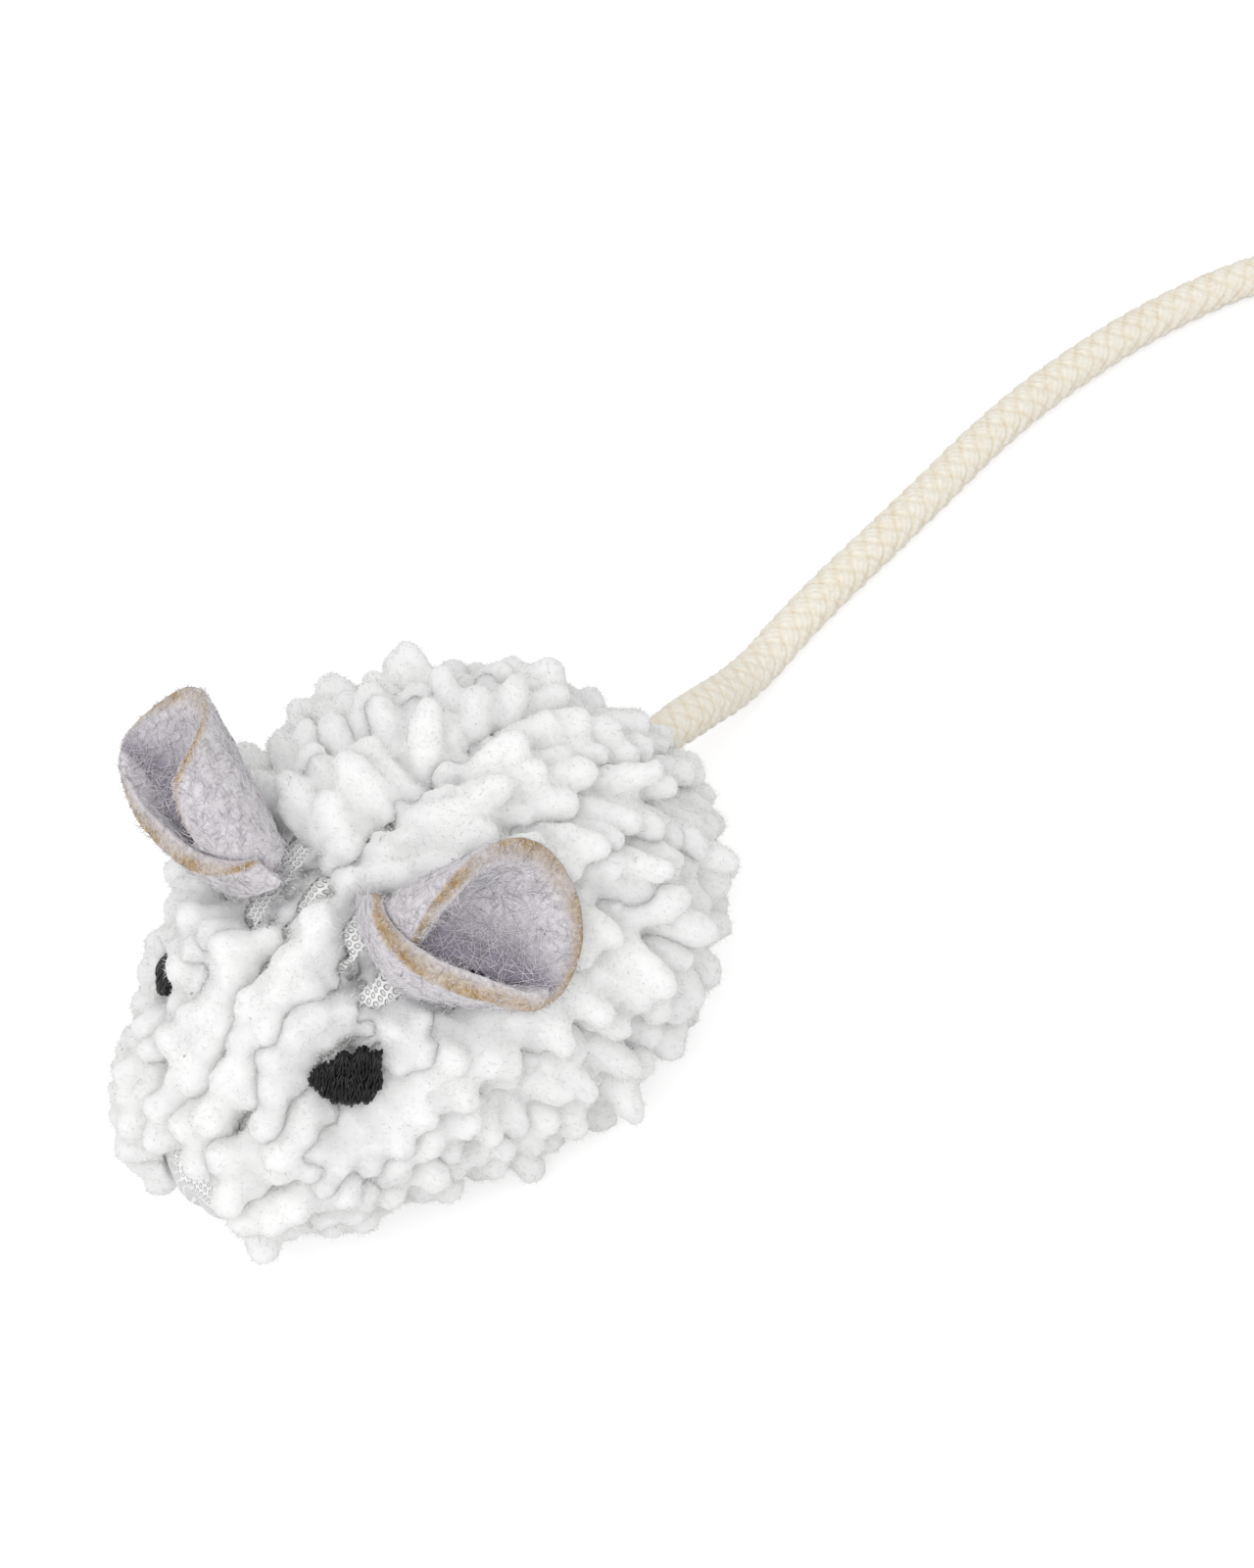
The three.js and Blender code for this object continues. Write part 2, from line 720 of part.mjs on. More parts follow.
// All rows of one side, from the back seam to the belly.
function addRows(side, sideName) {
  for (let row = 0; row < rowsPerSide; row += 1) {
    const long = row % 2 === 0;
    const front = long ? longRowFront : shortRowFront;
    const rear = long ? longRowRear : shortRowRear;
    const stagger = long ? longRowStagger : shortRowStagger;
    const share = (side * (row + 0.5) * rowPitch) / halfRound(widestStep);
    const name = `noodle_row_${sideName}_${row + 1}`;
    let solid = stripSolid(front, rear, share);
    rowPlaces(front, rear, share, stagger).forEach((step, place) => {
      const noodle = growNoodle(step, share, name, place % 2 === 0 ? 1 : -1);
      if (noodle) {
        noodles.push(noodle);
        solid = solid.add(noodleSolid(noodle));
      }
    });
    addPiece(name, solid, noodlePlush);
  }
}

// A rope knot: a lumpy barrel with a narrow neck where the rope enters. Its end is closed apart.
function knotProfile(length, radius, growth) {
  const girth = radius + growth;
  return [
    new THREE.Vector2(0, -growth),
    new THREE.Vector2(ropeRadius + growth, -growth),
    ...knotShares.map(([across, along]) => new THREE.Vector2(girth * across, length * along)),
  ];
}

// The rounded end of a knot that shows no rope.
function knotEnd(length, radius, growth) {
  return [
    new THREE.Vector2((radius + growth) * knotEndShare, length + growth / 2),
    new THREE.Vector2(0, length + growth),
  ];
}

// Corners well outside the body, and how far the anchor knot stays back from the swinging rope.
const outside = new THREE.Vector3(bodyLength, bodyLength, bodyLength);
const inverse = outside.clone().negate();
const knotSetback = ropeRadius * Math.sin(tailSwingAngle) + pieceGap;
const skinSolid = bodySolid(0);
const liningSolid = bodySolid(-coverThickness);
const fillSolid = bodySolid(-coverThickness - pieceGap);

// The hole that the rope passes, wide enough for its swing.
function ropeHole() {
  const start = ropeCurve.getPoint(0);
  const hole = new THREE.CylinderGeometry(ropeHoleRadius, ropeHoleRadius, ropeHoleDepth, ropeHoleSides);
  hole.translate(start.x, start.y + ropeHoleDepth / 2 - knotSetback, start.z);
  return solidOf(hole);
}

// Cover: a left and a right panel that meet along the back, and a belly panel.
function addCover() {
  const shell = skinSolid.subtract(liningSolid);
  const low = new THREE.Vector3(-bellyHalfWidth, bellyFront, -coverThickness);
  const high = new THREE.Vector3(bellyHalfWidth, bellyRear, bellyRise);
  const room = new THREE.Vector3(pieceGap, pieceGap, pieceGap);
  const bellyRoom = boxSolid(low.clone().sub(room), high.clone().add(room));
  const sides = shell.subtract(bellyRoom).subtract(ropeHole());
  const seam = pieceGap / 2;
  const leftHalf = boxSolid(new THREE.Vector3(seam, -outside.y, -outside.z), outside);
  const rightHalf = boxSolid(inverse, new THREE.Vector3(-seam, outside.y, outside.z));
  addPiece('cover_left', sides.intersect(leftHalf), backingNet);
  addPiece('cover_right', sides.intersect(rightHalf), backingNet);
  addPiece('cover_belly', shell.intersect(boxSolid(low, high)), backingNet);
}

// Filling: a front and a rear wad of fibre round the pouch and the anchor knot.
function addFilling() {
  const start = ropeCurve.getPoint(0);
  const knot = (growth) => {
    const profile = knotProfile(anchorKnotLength, anchorKnotRadius, growth);
    profile.push(...knotEnd(anchorKnotLength, anchorKnotRadius, growth));
    const turned = new THREE.LatheGeometry(profile, knotSides);
    turned.rotateX(Math.PI);
    turned.translate(start.x, start.y - knotSetback, start.z);
    return solidOf(turned);
  };
  const pouch = (growth) => {
    const sphere = new THREE.SphereGeometry(1, pouchSides, pouchRings);
    sphere.rotateX(Math.PI / 2);
    sphere.scale(pouchWidth / 2 + growth, pouchLength / 2 + growth, pouchHeight / 2 + growth);
    sphere.translate(0, fillingSplit, pouchCentreHeight);
    return solidOf(sphere);
  };
  const fill = fillSolid.subtract(pouch(pieceGap)).subtract(knot(pieceGap)).subtract(ropeHole());
  const seam = pieceGap / 2;
  const frontEnd = new THREE.Vector3(outside.x, fillingSplit - seam, outside.z);
  const rearStart = new THREE.Vector3(-outside.x, fillingSplit + seam, -outside.z);
  addPiece('filling_front', fill.intersect(boxSolid(inverse, frontEnd)), fibreFill);
  addPiece('filling_rear', fill.intersect(boxSolid(rearStart, outside)), fibreFill);
  const cloth = pouch(0).subtract(pouch(-pouchCloth));
  const upperStart = new THREE.Vector3(-outside.x, -outside.y, pouchCentreHeight + seam);
  const lowerEnd = new THREE.Vector3(outside.x, outside.y, pouchCentreHeight - seam);
  addPiece('pouch_upper', cloth.intersect(boxSolid(upperStart, outside)), pouchFabric);
  addPiece('pouch_lower', cloth.intersect(boxSolid(inverse, lowerEnd)), pouchFabric);
  addPiece('catnip', pouch(-pouchCloth - pieceGap), driedHerb);
  addPiece('tail_anchor_knot', knot(0), cottonRope);
}

// An ear's felt, its foot cut back to clear the noodle rows as the ear swings.
function earSolid(frame) {
  let felt = solidOf(earGeometry(frame));
  for (const swing of earSwingAngles) {
    const turn = new THREE.Matrix4().makeRotationAxis(frame.seam, swing);
    const toBase = new THREE.Matrix4().makeTranslation(frame.base);
    const fromBase = new THREE.Matrix4().makeTranslation(frame.base.clone().negate());
    const swung = toBase.multiply(turn).multiply(fromBase);
    felt = felt.subtract(bodySolid(restGap + pieceGap / 2).transform(swung.elements));
  }
  return felt;
}

// Ears: rolled felt that stands on the noodle rows.
function addEars() {
  addPiece('ear_left', earSolid(earFrames.left), greyFelt);
  addPiece('ear_right', earSolid(earFrames.right).mirror([1, 0, 0]), greyFelt);
}

// Eyes: jagged patches of stitching over the noodle rows.
function addEyes() {
  const outline = new THREE.Shape();
  for (let point = 0; point < eyePoints; point += 1) {
    const angle = (point / eyePoints) * 2 * Math.PI;
    const radius = eyeRadius * (1 - eyeNotchShare * (point % 2) - eyeRoughShare * random());
    const corner = new THREE.Vector2(Math.cos(angle) * radius, Math.sin(angle) * radius);
    if (point === 0) outline.moveTo(corner.x, corner.y);
    else outline.lineTo(corner.x, corner.y);
  }
  const depth = eyeCutShare * eyeThickness;
  const prism = new THREE.ExtrudeGeometry(outline, { depth, bevelEnabled: false });
  prism.translate(0, 0, -depth / 2);
  prism.applyQuaternion(new THREE.Quaternion().setFromUnitVectors(upward, eyeNormal));
  prism.translate(eyeLeft.x, eyeLeft.y, eyeLeft.z);
  const layer = bodySolid(restGap + eyeThickness).subtract(bodySolid(restGap));
  const left = layer.intersect(solidOf(prism));
  addPiece('eye_left', left, blackThread);
  addPiece('eye_right', left.mirror([1, 0, 0]), blackThread);
}

// Tail: a braided rope, kept plain here, with a knot at its free end.
function addTail() {
  const section = new THREE.Shape();
  for (let side = 0; side < ropeSides; side += 1) {
    const angle = ((side + 0.5) / ropeSides) * 2 * Math.PI;
    const corner = new THREE.Vector2(ropeRadius * Math.cos(angle), ropeRadius * Math.sin(angle));
    if (side === 0) section.moveTo(corner.x, corner.y);
    else section.lineTo(corner.x, corner.y);
  }
  const rope = new THREE.ExtrudeGeometry(section, { steps: ropeSteps, extrudePath: ropeCurve });
  addPiece('tail_rope', solidOf(rope), cottonRope);
  const end = ropeCurve.getPoint(1);
  const heading = ropeCurve.getTangent(1);
  heading.z = 0;
  heading.normalize();
  const profile = knotProfile(endKnotLength, endKnotRadius, 0);
  profile.push(new THREE.Vector2(ropeRadius, endKnotLength));
  profile.push(new THREE.Vector2(ropeRadius * tuftShare, endKnotLength + endKnotTuft));
  profile.push(new THREE.Vector2(0, endKnotLength + endKnotTuft));
  const knot = new THREE.LatheGeometry(profile, knotSides);
  knot.applyQuaternion(new THREE.Quaternion().setFromUnitVectors(new THREE.Vector3(0, 1, 0), heading));
  knot.translate(end.x + heading.x * pieceGap, end.y + heading.y * pieceGap, end.z);
  addPiece('tail_end_knot', solidOf(knot), cottonRope);
}

addFilling();
addCover();
addRows(1, 'left');
addRows(-1, 'right');
addEars();
addEyes();
addTail();

export default mouse;
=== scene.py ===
import math

import bmesh
import bpy
import numpy as np
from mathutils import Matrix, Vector
from mathutils.bvhtree import BVHTree


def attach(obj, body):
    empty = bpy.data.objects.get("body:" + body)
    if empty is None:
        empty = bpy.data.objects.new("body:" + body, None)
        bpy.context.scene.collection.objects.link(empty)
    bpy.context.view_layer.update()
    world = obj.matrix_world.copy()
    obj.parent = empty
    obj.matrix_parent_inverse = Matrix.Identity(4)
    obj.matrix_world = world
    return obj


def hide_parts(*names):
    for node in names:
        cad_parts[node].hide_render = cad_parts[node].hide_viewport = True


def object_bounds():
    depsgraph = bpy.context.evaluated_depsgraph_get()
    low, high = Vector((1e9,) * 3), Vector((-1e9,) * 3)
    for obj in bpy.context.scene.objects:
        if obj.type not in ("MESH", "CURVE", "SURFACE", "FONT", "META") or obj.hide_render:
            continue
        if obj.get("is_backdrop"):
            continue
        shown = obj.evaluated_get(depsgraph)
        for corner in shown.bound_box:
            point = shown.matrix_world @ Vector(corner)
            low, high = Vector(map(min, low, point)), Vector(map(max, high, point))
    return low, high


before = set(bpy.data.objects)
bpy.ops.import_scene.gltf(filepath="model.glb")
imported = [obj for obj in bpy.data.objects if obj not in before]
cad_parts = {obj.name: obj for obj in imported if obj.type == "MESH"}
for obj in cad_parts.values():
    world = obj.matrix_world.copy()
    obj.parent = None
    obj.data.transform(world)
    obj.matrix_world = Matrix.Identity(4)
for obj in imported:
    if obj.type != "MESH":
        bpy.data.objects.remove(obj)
cad_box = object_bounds()
bpy.ops.object.select_all(action="DESELECT")

# Tail: a limp braided cotton rope, 6 mm thick. Eight strands of three yarns cross over and under
# each other round a soft core. It leaves the rump, drops to the floor and trails behind the mouse.
tail_exit = (0, 0.0445, 0.0212)
tail_route = 0.001 * np.array(
    [
        [0, 44.5, 21.2], [0, 49, 20.9], [-0.6, 56, 18.6], [-1.7, 63, 15.6], [-3.2, 71, 11.6],
        [-4.8, 79, 7.4], [-6.2, 87, 4.4], [-7.2, 95, 3.2], [-7.8, 104, 3.05], [-8.1, 115, 3.05],
        [-8.2, 128, 3.05], [-8.4, 142, 3.05], [-8.7, 156, 3.05], [-8.2, 170, 3.05], [-6.9, 182, 3.05],
        [-4.9, 194, 3.05], [-2, 206, 3.05], [2, 218, 3.05], [6.6, 228, 3.4], [11.4, 237, 5.4],
        [15.6, 244, 6.9], [19.5, 250.5, 7.05],
    ]
)
strand_pairs = 4
yarns_in_strand = 3
yarn_radius, yarn_sides = 0.0005, 6
braid_radius = 0.00222
braid_rise = 0.00042
braid_turn = 0.0165
rope_voxel, rope_rest_height, rope_more_girth = 0.00031, 0.00306, 0.14
rope_fuzz = {"per_square_mm": 0.7, "length": (0.0004, 0.0012), "radius": 0.00002, "rise": (0.1, 0.7)}
lowest_fibre = 0.00003


def unit(directions):
    return directions / np.maximum(np.linalg.norm(directions, axis=-1, keepdims=True), 1e-12)


def run_along(line):
    """How far along a line each of its points lies."""
    return np.concatenate([[0], np.cumsum(np.linalg.norm(np.diff(line, axis=0), axis=1))])


def smooth_line(places, spacing):
    """Points at an even spacing on one smooth curve through the places."""
    ends = np.vstack([2 * places[0] - places[1], places, 2 * places[-1] - places[-2]])
    line = []
    for first in range(len(places) - 1):
        a, b, c, d = ends[first : first + 4]
        ab, bc, cd = (np.linalg.norm(q - p) ** 0.5 for p, q in ((a, b), (b, c), (c, d)))
        start = ((b - a) / ab - (c - a) / (ab + bc) + (c - b) / bc) * bc
        end = ((c - b) / bc - (d - b) / (bc + cd) + (d - c) / cd) * bc
        t = np.linspace(0, 1, 25)[:, None]
        squared = 3 * (c - b) - 2 * start - end
        part = b + t * start + t**2 * squared + t**3 * (2 * (b - c) + start + end)
        line.extend(part[:-1] if first < len(places) - 2 else part)
    line = np.array(line)
    travelled = run_along(line)
    even = np.linspace(0, travelled[-1], int(travelled[-1] / spacing) + 1)
    return np.column_stack([np.interp(even, travelled, line[:, axis]) for axis in range(3)])


def side_directions(line):
    """Directions along a line, and two across it that turn as little as possible."""
    along = unit(np.gradient(line, axis=0))
    across = np.zeros_like(line)
    across[0] = unit(np.cross(along[0], [1.0, 0.2, 0.1]))
    for i in range(1, len(line)):
        across[i] = unit(across[i - 1] - along[i] * np.dot(across[i - 1], along[i]))
    return along, across, np.cross(along, across)


def tube(line, outward, radius, sides):
    """A closed tube along a line, as its points and faces."""
    along = unit(np.gradient(line, axis=0))
    beside = unit(np.cross(along, outward))
    outward = np.cross(beside, along)
    turn = np.arange(sides) * 2 * math.pi / sides
    radius = np.broadcast_to(radius, (len(line),))[:, None, None]
    ring = outward[:, None] * np.cos(turn)[:, None] + beside[:, None] * np.sin(turn)[:, None]
    points = (line[:, None] + ring * radius).reshape(-1, 3)
    faces = []
    for row in range(len(line) - 1):
        here = row * sides
        for side in range(sides):
            next_side = (side + 1) % sides
            faces.append((here + side, here + sides + side, here + sides + next_side, here + next_side))
    faces.append(tuple(range(sides)))
    last = (len(line) - 1) * sides
    faces.append(tuple(range(last + sides - 1, last - 1, -1)))
    return points, faces


def gather(parts):
    """Several point and face lists as one."""
    points, faces, start = [], [], 0
    for part_points, part_faces in parts:
        points.append(part_points)
        faces.extend(tuple(corner + start for corner in face) for face in part_faces)
        start += len(part_points)
    return np.vstack(points), faces


def fill_mesh(mesh, points, faces, marks=None, smooth=True):
    """Gives a mesh its points and faces, and its marks, which are values at the points for a material."""
    mesh.clear_geometry()
    mesh.from_pydata(points.tolist(), [], faces)
    mesh.polygons.foreach_set("use_smooth", np.full(len(mesh.polygons), smooth))
    for mark, values in (marks or {}).items():
        attribute = mesh.attributes.get(mark) or mesh.attributes.new(mark, "FLOAT", "POINT")
        attribute.data.foreach_set("value", np.asarray(values, np.float32))
    mesh.update()


def add_piece(name, points, faces, material, body, marks=None):
    """A new piece with its place in its mesh, riding on a body."""
    mesh = bpy.data.meshes.new(name)
    fill_mesh(mesh, points, faces, marks)
    mesh.materials.append(material)
    piece = bpy.data.objects.new(name, mesh)
    bpy.context.scene.collection.objects.link(piece)
    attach(piece, body)
    return piece


def grain_group():
    """Fine noise that most of the materials use: its amount, and the normal of a surface it roughens."""
    group = bpy.data.node_groups.new("grain", "ShaderNodeTree")
    noise_inputs = {"Scale": 900.0, "Detail": 3.0, "Roughness": 0.5, "Distortion": 0.0}
    bump_inputs = {"Strength": 0.5, "Distance": 0.0001}
    for name, value in (noise_inputs | bump_inputs).items():
        group.interface.new_socket(name, in_out="INPUT", socket_type="NodeSocketFloat").default_value = value
    group.interface.new_socket("Amount", in_out="OUTPUT", socket_type="NodeSocketFloat")
    group.interface.new_socket("Normal", in_out="OUTPUT", socket_type="NodeSocketVector")
    given = group.nodes.new("NodeGroupInput")
    place = group.nodes.new("ShaderNodeTexCoord")
    noise = group.nodes.new("ShaderNodeTexNoise")
    bump = group.nodes.new("ShaderNodeBump")
    put_out = group.nodes.new("NodeGroupOutput")
    join = group.links.new
    join(place.outputs["Object"], noise.inputs["Vector"])
    join(noise.outputs["Fac"], bump.inputs["Height"])
    for node, names in ((noise, noise_inputs), (bump, bump_inputs)):
        for name in names:
            join(given.outputs[name], node.inputs[name])
    join(noise.outputs["Fac"], put_out.inputs["Amount"])
    join(bump.outputs["Normal"], put_out.inputs["Normal"])
    return group


grain = grain_group()


class Finish:
    """A material in the making, with short calls that add nodes to it and join them."""

    def __init__(self, name):
        self.material = bpy.data.materials.new(name)
        self.material.use_nodes = True
        self.tree = self.material.node_tree
        self.join = self.tree.links.new

    def give(self, socket, value):
        """Joins a node's socket to another one, or gives it a value of its own."""
        if isinstance(value, bpy.types.NodeSocket):
            self.join(value, socket)
        else:
            socket.default_value = value

    def settle(self, node, settings):
        """Gives a node its settings. A socket's name has underscores for spaces there."""
        for key, value in settings.items():
            socket = key.replace("_", " ")
            if socket in node.inputs:
                self.give(node.inputs[socket], value)
            else:
                setattr(node, key, value)
        return node

    def add(self, kind, **settings):
        return self.settle(self.tree.nodes.new(kind), settings)

    def grain(self, **settings):
        return self.add("ShaderNodeGroup", node_tree=grain, **settings).outputs

    def mark(self, name):
        return self.add("ShaderNodeAttribute", attribute_name=name).outputs["Fac"]

    def place(self):
        return self.add("ShaderNodeTexCoord").outputs["Object"]

    def reckon(self, operation, *values, clamp=False):
        """A sum of values and sockets."""
        node = self.add("ShaderNodeMath", operation=operation, use_clamp=clamp)
        for socket, value in zip(node.inputs, values):
            self.give(socket, value)
        return node.outputs[0]

    def colours(self, mask, *steps):
        """The colours that a mask passes through, from the places and colours of its steps."""
        ramp = self.add("ShaderNodeValToRGB", Fac=mask)
        elements = ramp.color_ramp.elements
        while len(elements) < len(steps):
            elements.new(0.5)
        for element, (place, colour) in zip(elements, steps):
            element.position = place
            element.color = (*colour, 1)
        return ramp.outputs["Color"]

    def mix(self, way, share, first, second):
        node = self.add("ShaderNodeMix", data_type="RGBA", blend_type=way, Factor=share, A=first, B=second)
        return node.outputs["Result"]

    def done(self, **settings):
        """Gives the shader its settings and puts out the material."""
        self.settle(self.tree.nodes["Principled BSDF"], settings)
        return self.material


def cotton_material():
    look = Finish("braided_cotton")
    fleck = look.grain(Scale=900.0, Detail=4.0, Roughness=0.65, Strength=0.5, Distance=0.00012)
    stain = look.grain(Scale=130.0, Detail=3.0)
    # Painted shade: the colour darkens and browns from the outermost yarns down into the grooves between
    # them, following the depth mark, and a coarse noise shifts it about.
    height = look.reckon("MULTIPLY_ADD", stain["Amount"], 0.3, look.mark("depth"))
    height = look.reckon("SUBTRACT", height, 0.15)
    groove_painted_shade, shaded_low_yarn = (0.6, 0.42, 0.25), (0.8, 0.67, 0.49)
    yarn, outermost_yarn = (0.88, 0.82, 0.7), (0.91, 0.88, 0.8)
    shade = look.colours(height, (0.0, groove_painted_shade), (0.35, shaded_low_yarn), (0.65, yarn), (1.0, outermost_yarn))
    dots = look.colours(fleck["Amount"], (0.3, (0.78, 0.66, 0.5)), (0.5, (1, 1, 1)))
    tone = look.mix("MULTIPLY", 0.35, shade, dots)
    return look.done(Base_Color=tone, Normal=fleck["Normal"], Roughness=0.9, Sheen_Weight=0.15)


cotton = cotton_material()


def braided(line, scale=1.0, swell=1.0):
    """The yarns of a braid along a line, with how far out in the braid each point lies."""
    swell = np.broadcast_to(swell, (len(line),))
    along, across, beside = side_directions(line)
    travelled = run_along(line)
    turn = 2 * math.pi / (braid_turn * scale)
    parts, depths = [], []
    for way in (1, -1):
        for strand in range(strand_pairs):
            for yarn in range(yarns_in_strand):
                shift = (yarn - (yarns_in_strand - 1) / 2) * 2 * yarn_radius * 1.12 / braid_radius
                angle = 2 * math.pi * strand / strand_pairs + way * turn * travelled + shift
                wave = np.cos(strand_pairs * turn * travelled + way * shift * 2)
                out = braid_radius + way * braid_rise * wave
                outward = across * np.cos(angle)[:, None] + beside * np.sin(angle)[:, None]
                places = line + outward * (out * swell)[:, None] * scale
                points, faces = tube(places, outward, yarn_radius * scale * swell, yarn_sides)
                parts.append((points, faces))
                spread = np.linalg.norm(points.reshape(len(line), -1, 3) - line[:, None], axis=2) / scale
                depths.append(((spread / swell[:, None] - (braid_radius - 0.0006)) / 0.0014).ravel())
    core = tube(line, across, (braid_radius - 0.0001) * scale * swell, 2 * yarn_sides)
    parts.append(core)
    depths.append(np.zeros(len(core[0])))
    points, faces = gather(parts)
    return points, faces, np.clip(np.concatenate(depths), 0, 1)


def apply_modifier(piece, kind, **settings):
    """Adds a modifier to a piece and makes its shape the piece's own."""
    modifier = piece.modifiers.new(kind, kind)
    for key, value in settings.items():
        setattr(modifier, key, value)
    with bpy.context.temp_override(object=piece, active_object=piece, selected_objects=[piece]):
        bpy.ops.object.modifier_apply(modifier=modifier.name)


def mesh_arrays(piece):
    """A piece's points and triangles as arrays."""
    mesh = piece.data
    points = np.empty(len(mesh.vertices) * 3, np.float32)
    mesh.vertices.foreach_get("co", points)
    mesh.calc_loop_triangles()
    triangles = np.empty(len(mesh.loop_triangles) * 3, np.int32)
    mesh.loop_triangles.foreach_get("vertices", triangles)
    return points.reshape(-1, 3).astype(float), triangles.reshape(-1, 3)


def soften(piece, voxel, rounds):
    """Closes a piece of many overlapping parts into one skin and smooths it."""
    apply_modifier(piece, "REMESH", mode="VOXEL", voxel_size=voxel)
    apply_modifier(piece, "SMOOTH", factor=0.5, iterations=rounds)


def scattered(points, triangles, chance, per_square_mm):
    """Triangles picked at random all over a surface, with the surface's normal at each and its corners."""
    a, b, c = (points[triangles[:, corner]] for corner in range(3))
    cross = np.cross(b - a, c - a)
    area = np.linalg.norm(cross, axis=1) / 2
    count = int(area.sum() * 1e6 * per_square_mm)
    chosen = chance.choice(len(triangles), count, p=area / area.sum())
    return chosen, unit(cross[chosen]), a[chosen], b[chosen], c[chosen]


# The corners of a fibre's three-sided section, as angles.
three_ways = (0, 2.094, 4.189)


def fibres(points, triangles, chance, per_square_mm, length, radius, rise):
    """Fine closed spikes on a surface. Rise is how steeply they stand, from 0, lying, to 1, upright."""
    chosen, normal, a, b, c = scattered(points, triangles, chance, per_square_mm)
    count = len(chosen)
    u, v = chance.random((2, count, 1))
    fold = u + v > 1
    u, v = np.where(fold, 1 - u, u), np.where(fold, 1 - v, v)
    foot = a + (b - a) * u + (c - a) * v
    aside = unit(np.cross(normal, chance.normal(size=(count, 3))))
    tilt = chance.uniform(*rise, (count, 1)) * math.pi / 2
    way = unit(normal * np.sin(tilt) + aside * np.cos(tilt))
    beside = unit(np.cross(way, normal + aside * 0.01))
    other = np.cross(way, beside)
    reach = chance.uniform(*length, (count, 1))
    ring = [foot + radius * (beside * math.cos(k) + other * math.sin(k)) for k in three_ways]
    tip = foot + way * reach - normal * reach * 0.15
    spikes = np.stack([*ring, tip], axis=1).reshape(-1, 3)
    spikes[:, 2] = np.maximum(spikes[:, 2], lowest_fibre)
    sides = np.array([[0, 1, 3], [1, 2, 3], [2, 0, 3], [0, 2, 1]])
    return spikes, repeated(sides, 4, count)


def repeated(sides, corners, count):
    """The faces of one fibre for each of many, which have so many corners each."""
    return (sides[None] + corners * np.arange(count)[:, None, None]).reshape(-1, 3)


def add_fibres(piece, points, hairs, sides, marks=None, smooth=True):
    """Adds closed fibres to a piece, and tells how many faces it had without them."""
    own = [list(face.vertices) for face in piece.data.polygons]
    faces = own + (sides + len(points)).tolist()
    fill_mesh(piece.data, np.vstack([points, hairs]), faces, marks, smooth)
    return len(own)


rope_line = smooth_line(tail_route, 0.0007)
rope_way = np.linspace(0, 1, len(rope_line))
past_exit, before_knot = np.clip((rope_way - 0.04) / 0.05, 0, 1), np.clip((1 - rope_way) / 0.05, 0, 1)
rope_swell = 1 + rope_more_girth * past_exit * before_knot
lifted = rope_line.copy()
lifted[:, 2] = np.maximum(lifted[:, 2], rope_rest_height * rope_swell)
points, faces, _ = braided(lifted, 1.0, rope_swell)
tail_rope = add_piece("braided_tail", points, faces, cotton, "tail")
soften(tail_rope, rope_voxel, 1)
points, triangles = mesh_arrays(tail_rope)
nearest = np.array([np.argmin(((lifted - point) ** 2).sum(axis=1)) for point in points])
aside = points - lifted[nearest]
along = unit(np.gradient(lifted, axis=0))[nearest]
aside -= along * np.sum(aside * along, axis=1, keepdims=True)
# How far out in the braid each point lies; the cotton paints shade into the grooves from it.
depth = (np.linalg.norm(aside, axis=1) / rope_swell[nearest] - braid_radius - 0.0001) / 0.0007
fuzz_points, fuzz_sides = fibres(points, triangles, np.random.default_rng(3), **rope_fuzz)
depth = np.concatenate([np.clip(depth, 0, 1), np.ones(len(fuzz_points))])
add_fibres(tail_rope, points, fuzz_points, fuzz_sides, {"depth": depth})
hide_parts("tail_rope")

# Stuffed body: knitted net over a grey lining, in a left and a right side panel that meet along the
# back, and a belly panel. The panels are sewn, turned and filled, and the seams draw in a little.
body_length, body_width, body_height, nose_reach = 0.092, 0.055, 0.049, 0.0465
section_roundness = 2.3
cover_thickness = 0.0012
seam_draw, seam_draw_width = 0.0004, 0.0012
seam_gap = 0.00035
hole_pitch_round, hole_pitch_along = 1.05, 0.85
hole_share, many_holes = 0.36, 400.0
belly_half_width, belly_front, belly_rear, belly_rise = 0.013, -0.030, 0.033, 0.006
stations = np.array(
    [
        [0.0, 0.02, 0.367, 0.337],
        [0.016, 0.18, 0.46, 0.224],
        [0.054, 0.35, 0.571, 0.19],
        [0.114, 0.49, 0.7, 0.125],
        [0.19, 0.62, 0.843, 0.065],
        [0.31, 0.761, 0.969, 0.0],
        [0.44, 0.911, 0.992, -0.024],
        [0.582, 1.0, 1.0, -0.03],
        [0.723, 0.96, 0.945, -0.024],
        [0.842, 0.8, 0.815, 0.004],
        [0.929, 0.58, 0.67, 0.082],
        [0.984, 0.3, 0.55, 0.224],
        [1.0, 0.02, 0.429, 0.388],
    ]
)
last_station = len(stations) - 1


def smooth_rows(rows, places):
    """A smooth curve through rows of values, read at places along them."""
    last = len(rows) - 1
    index = np.minimum(np.floor(places).astype(int), last - 1)
    share = (places - index)[:, None]
    before, start, end, after = (rows[np.clip(index + shift, 0, last)] for shift in (-1, 0, 1, 2))
    slope_in, slope_out = (end - before) / 2, (after - start) / 2
    cubed = 2 * (start - end) + slope_in + slope_out
    squared = 3 * (end - start) - 2 * slope_in - slope_out
    return start + share * (slope_in + share * (squared + share * cubed))


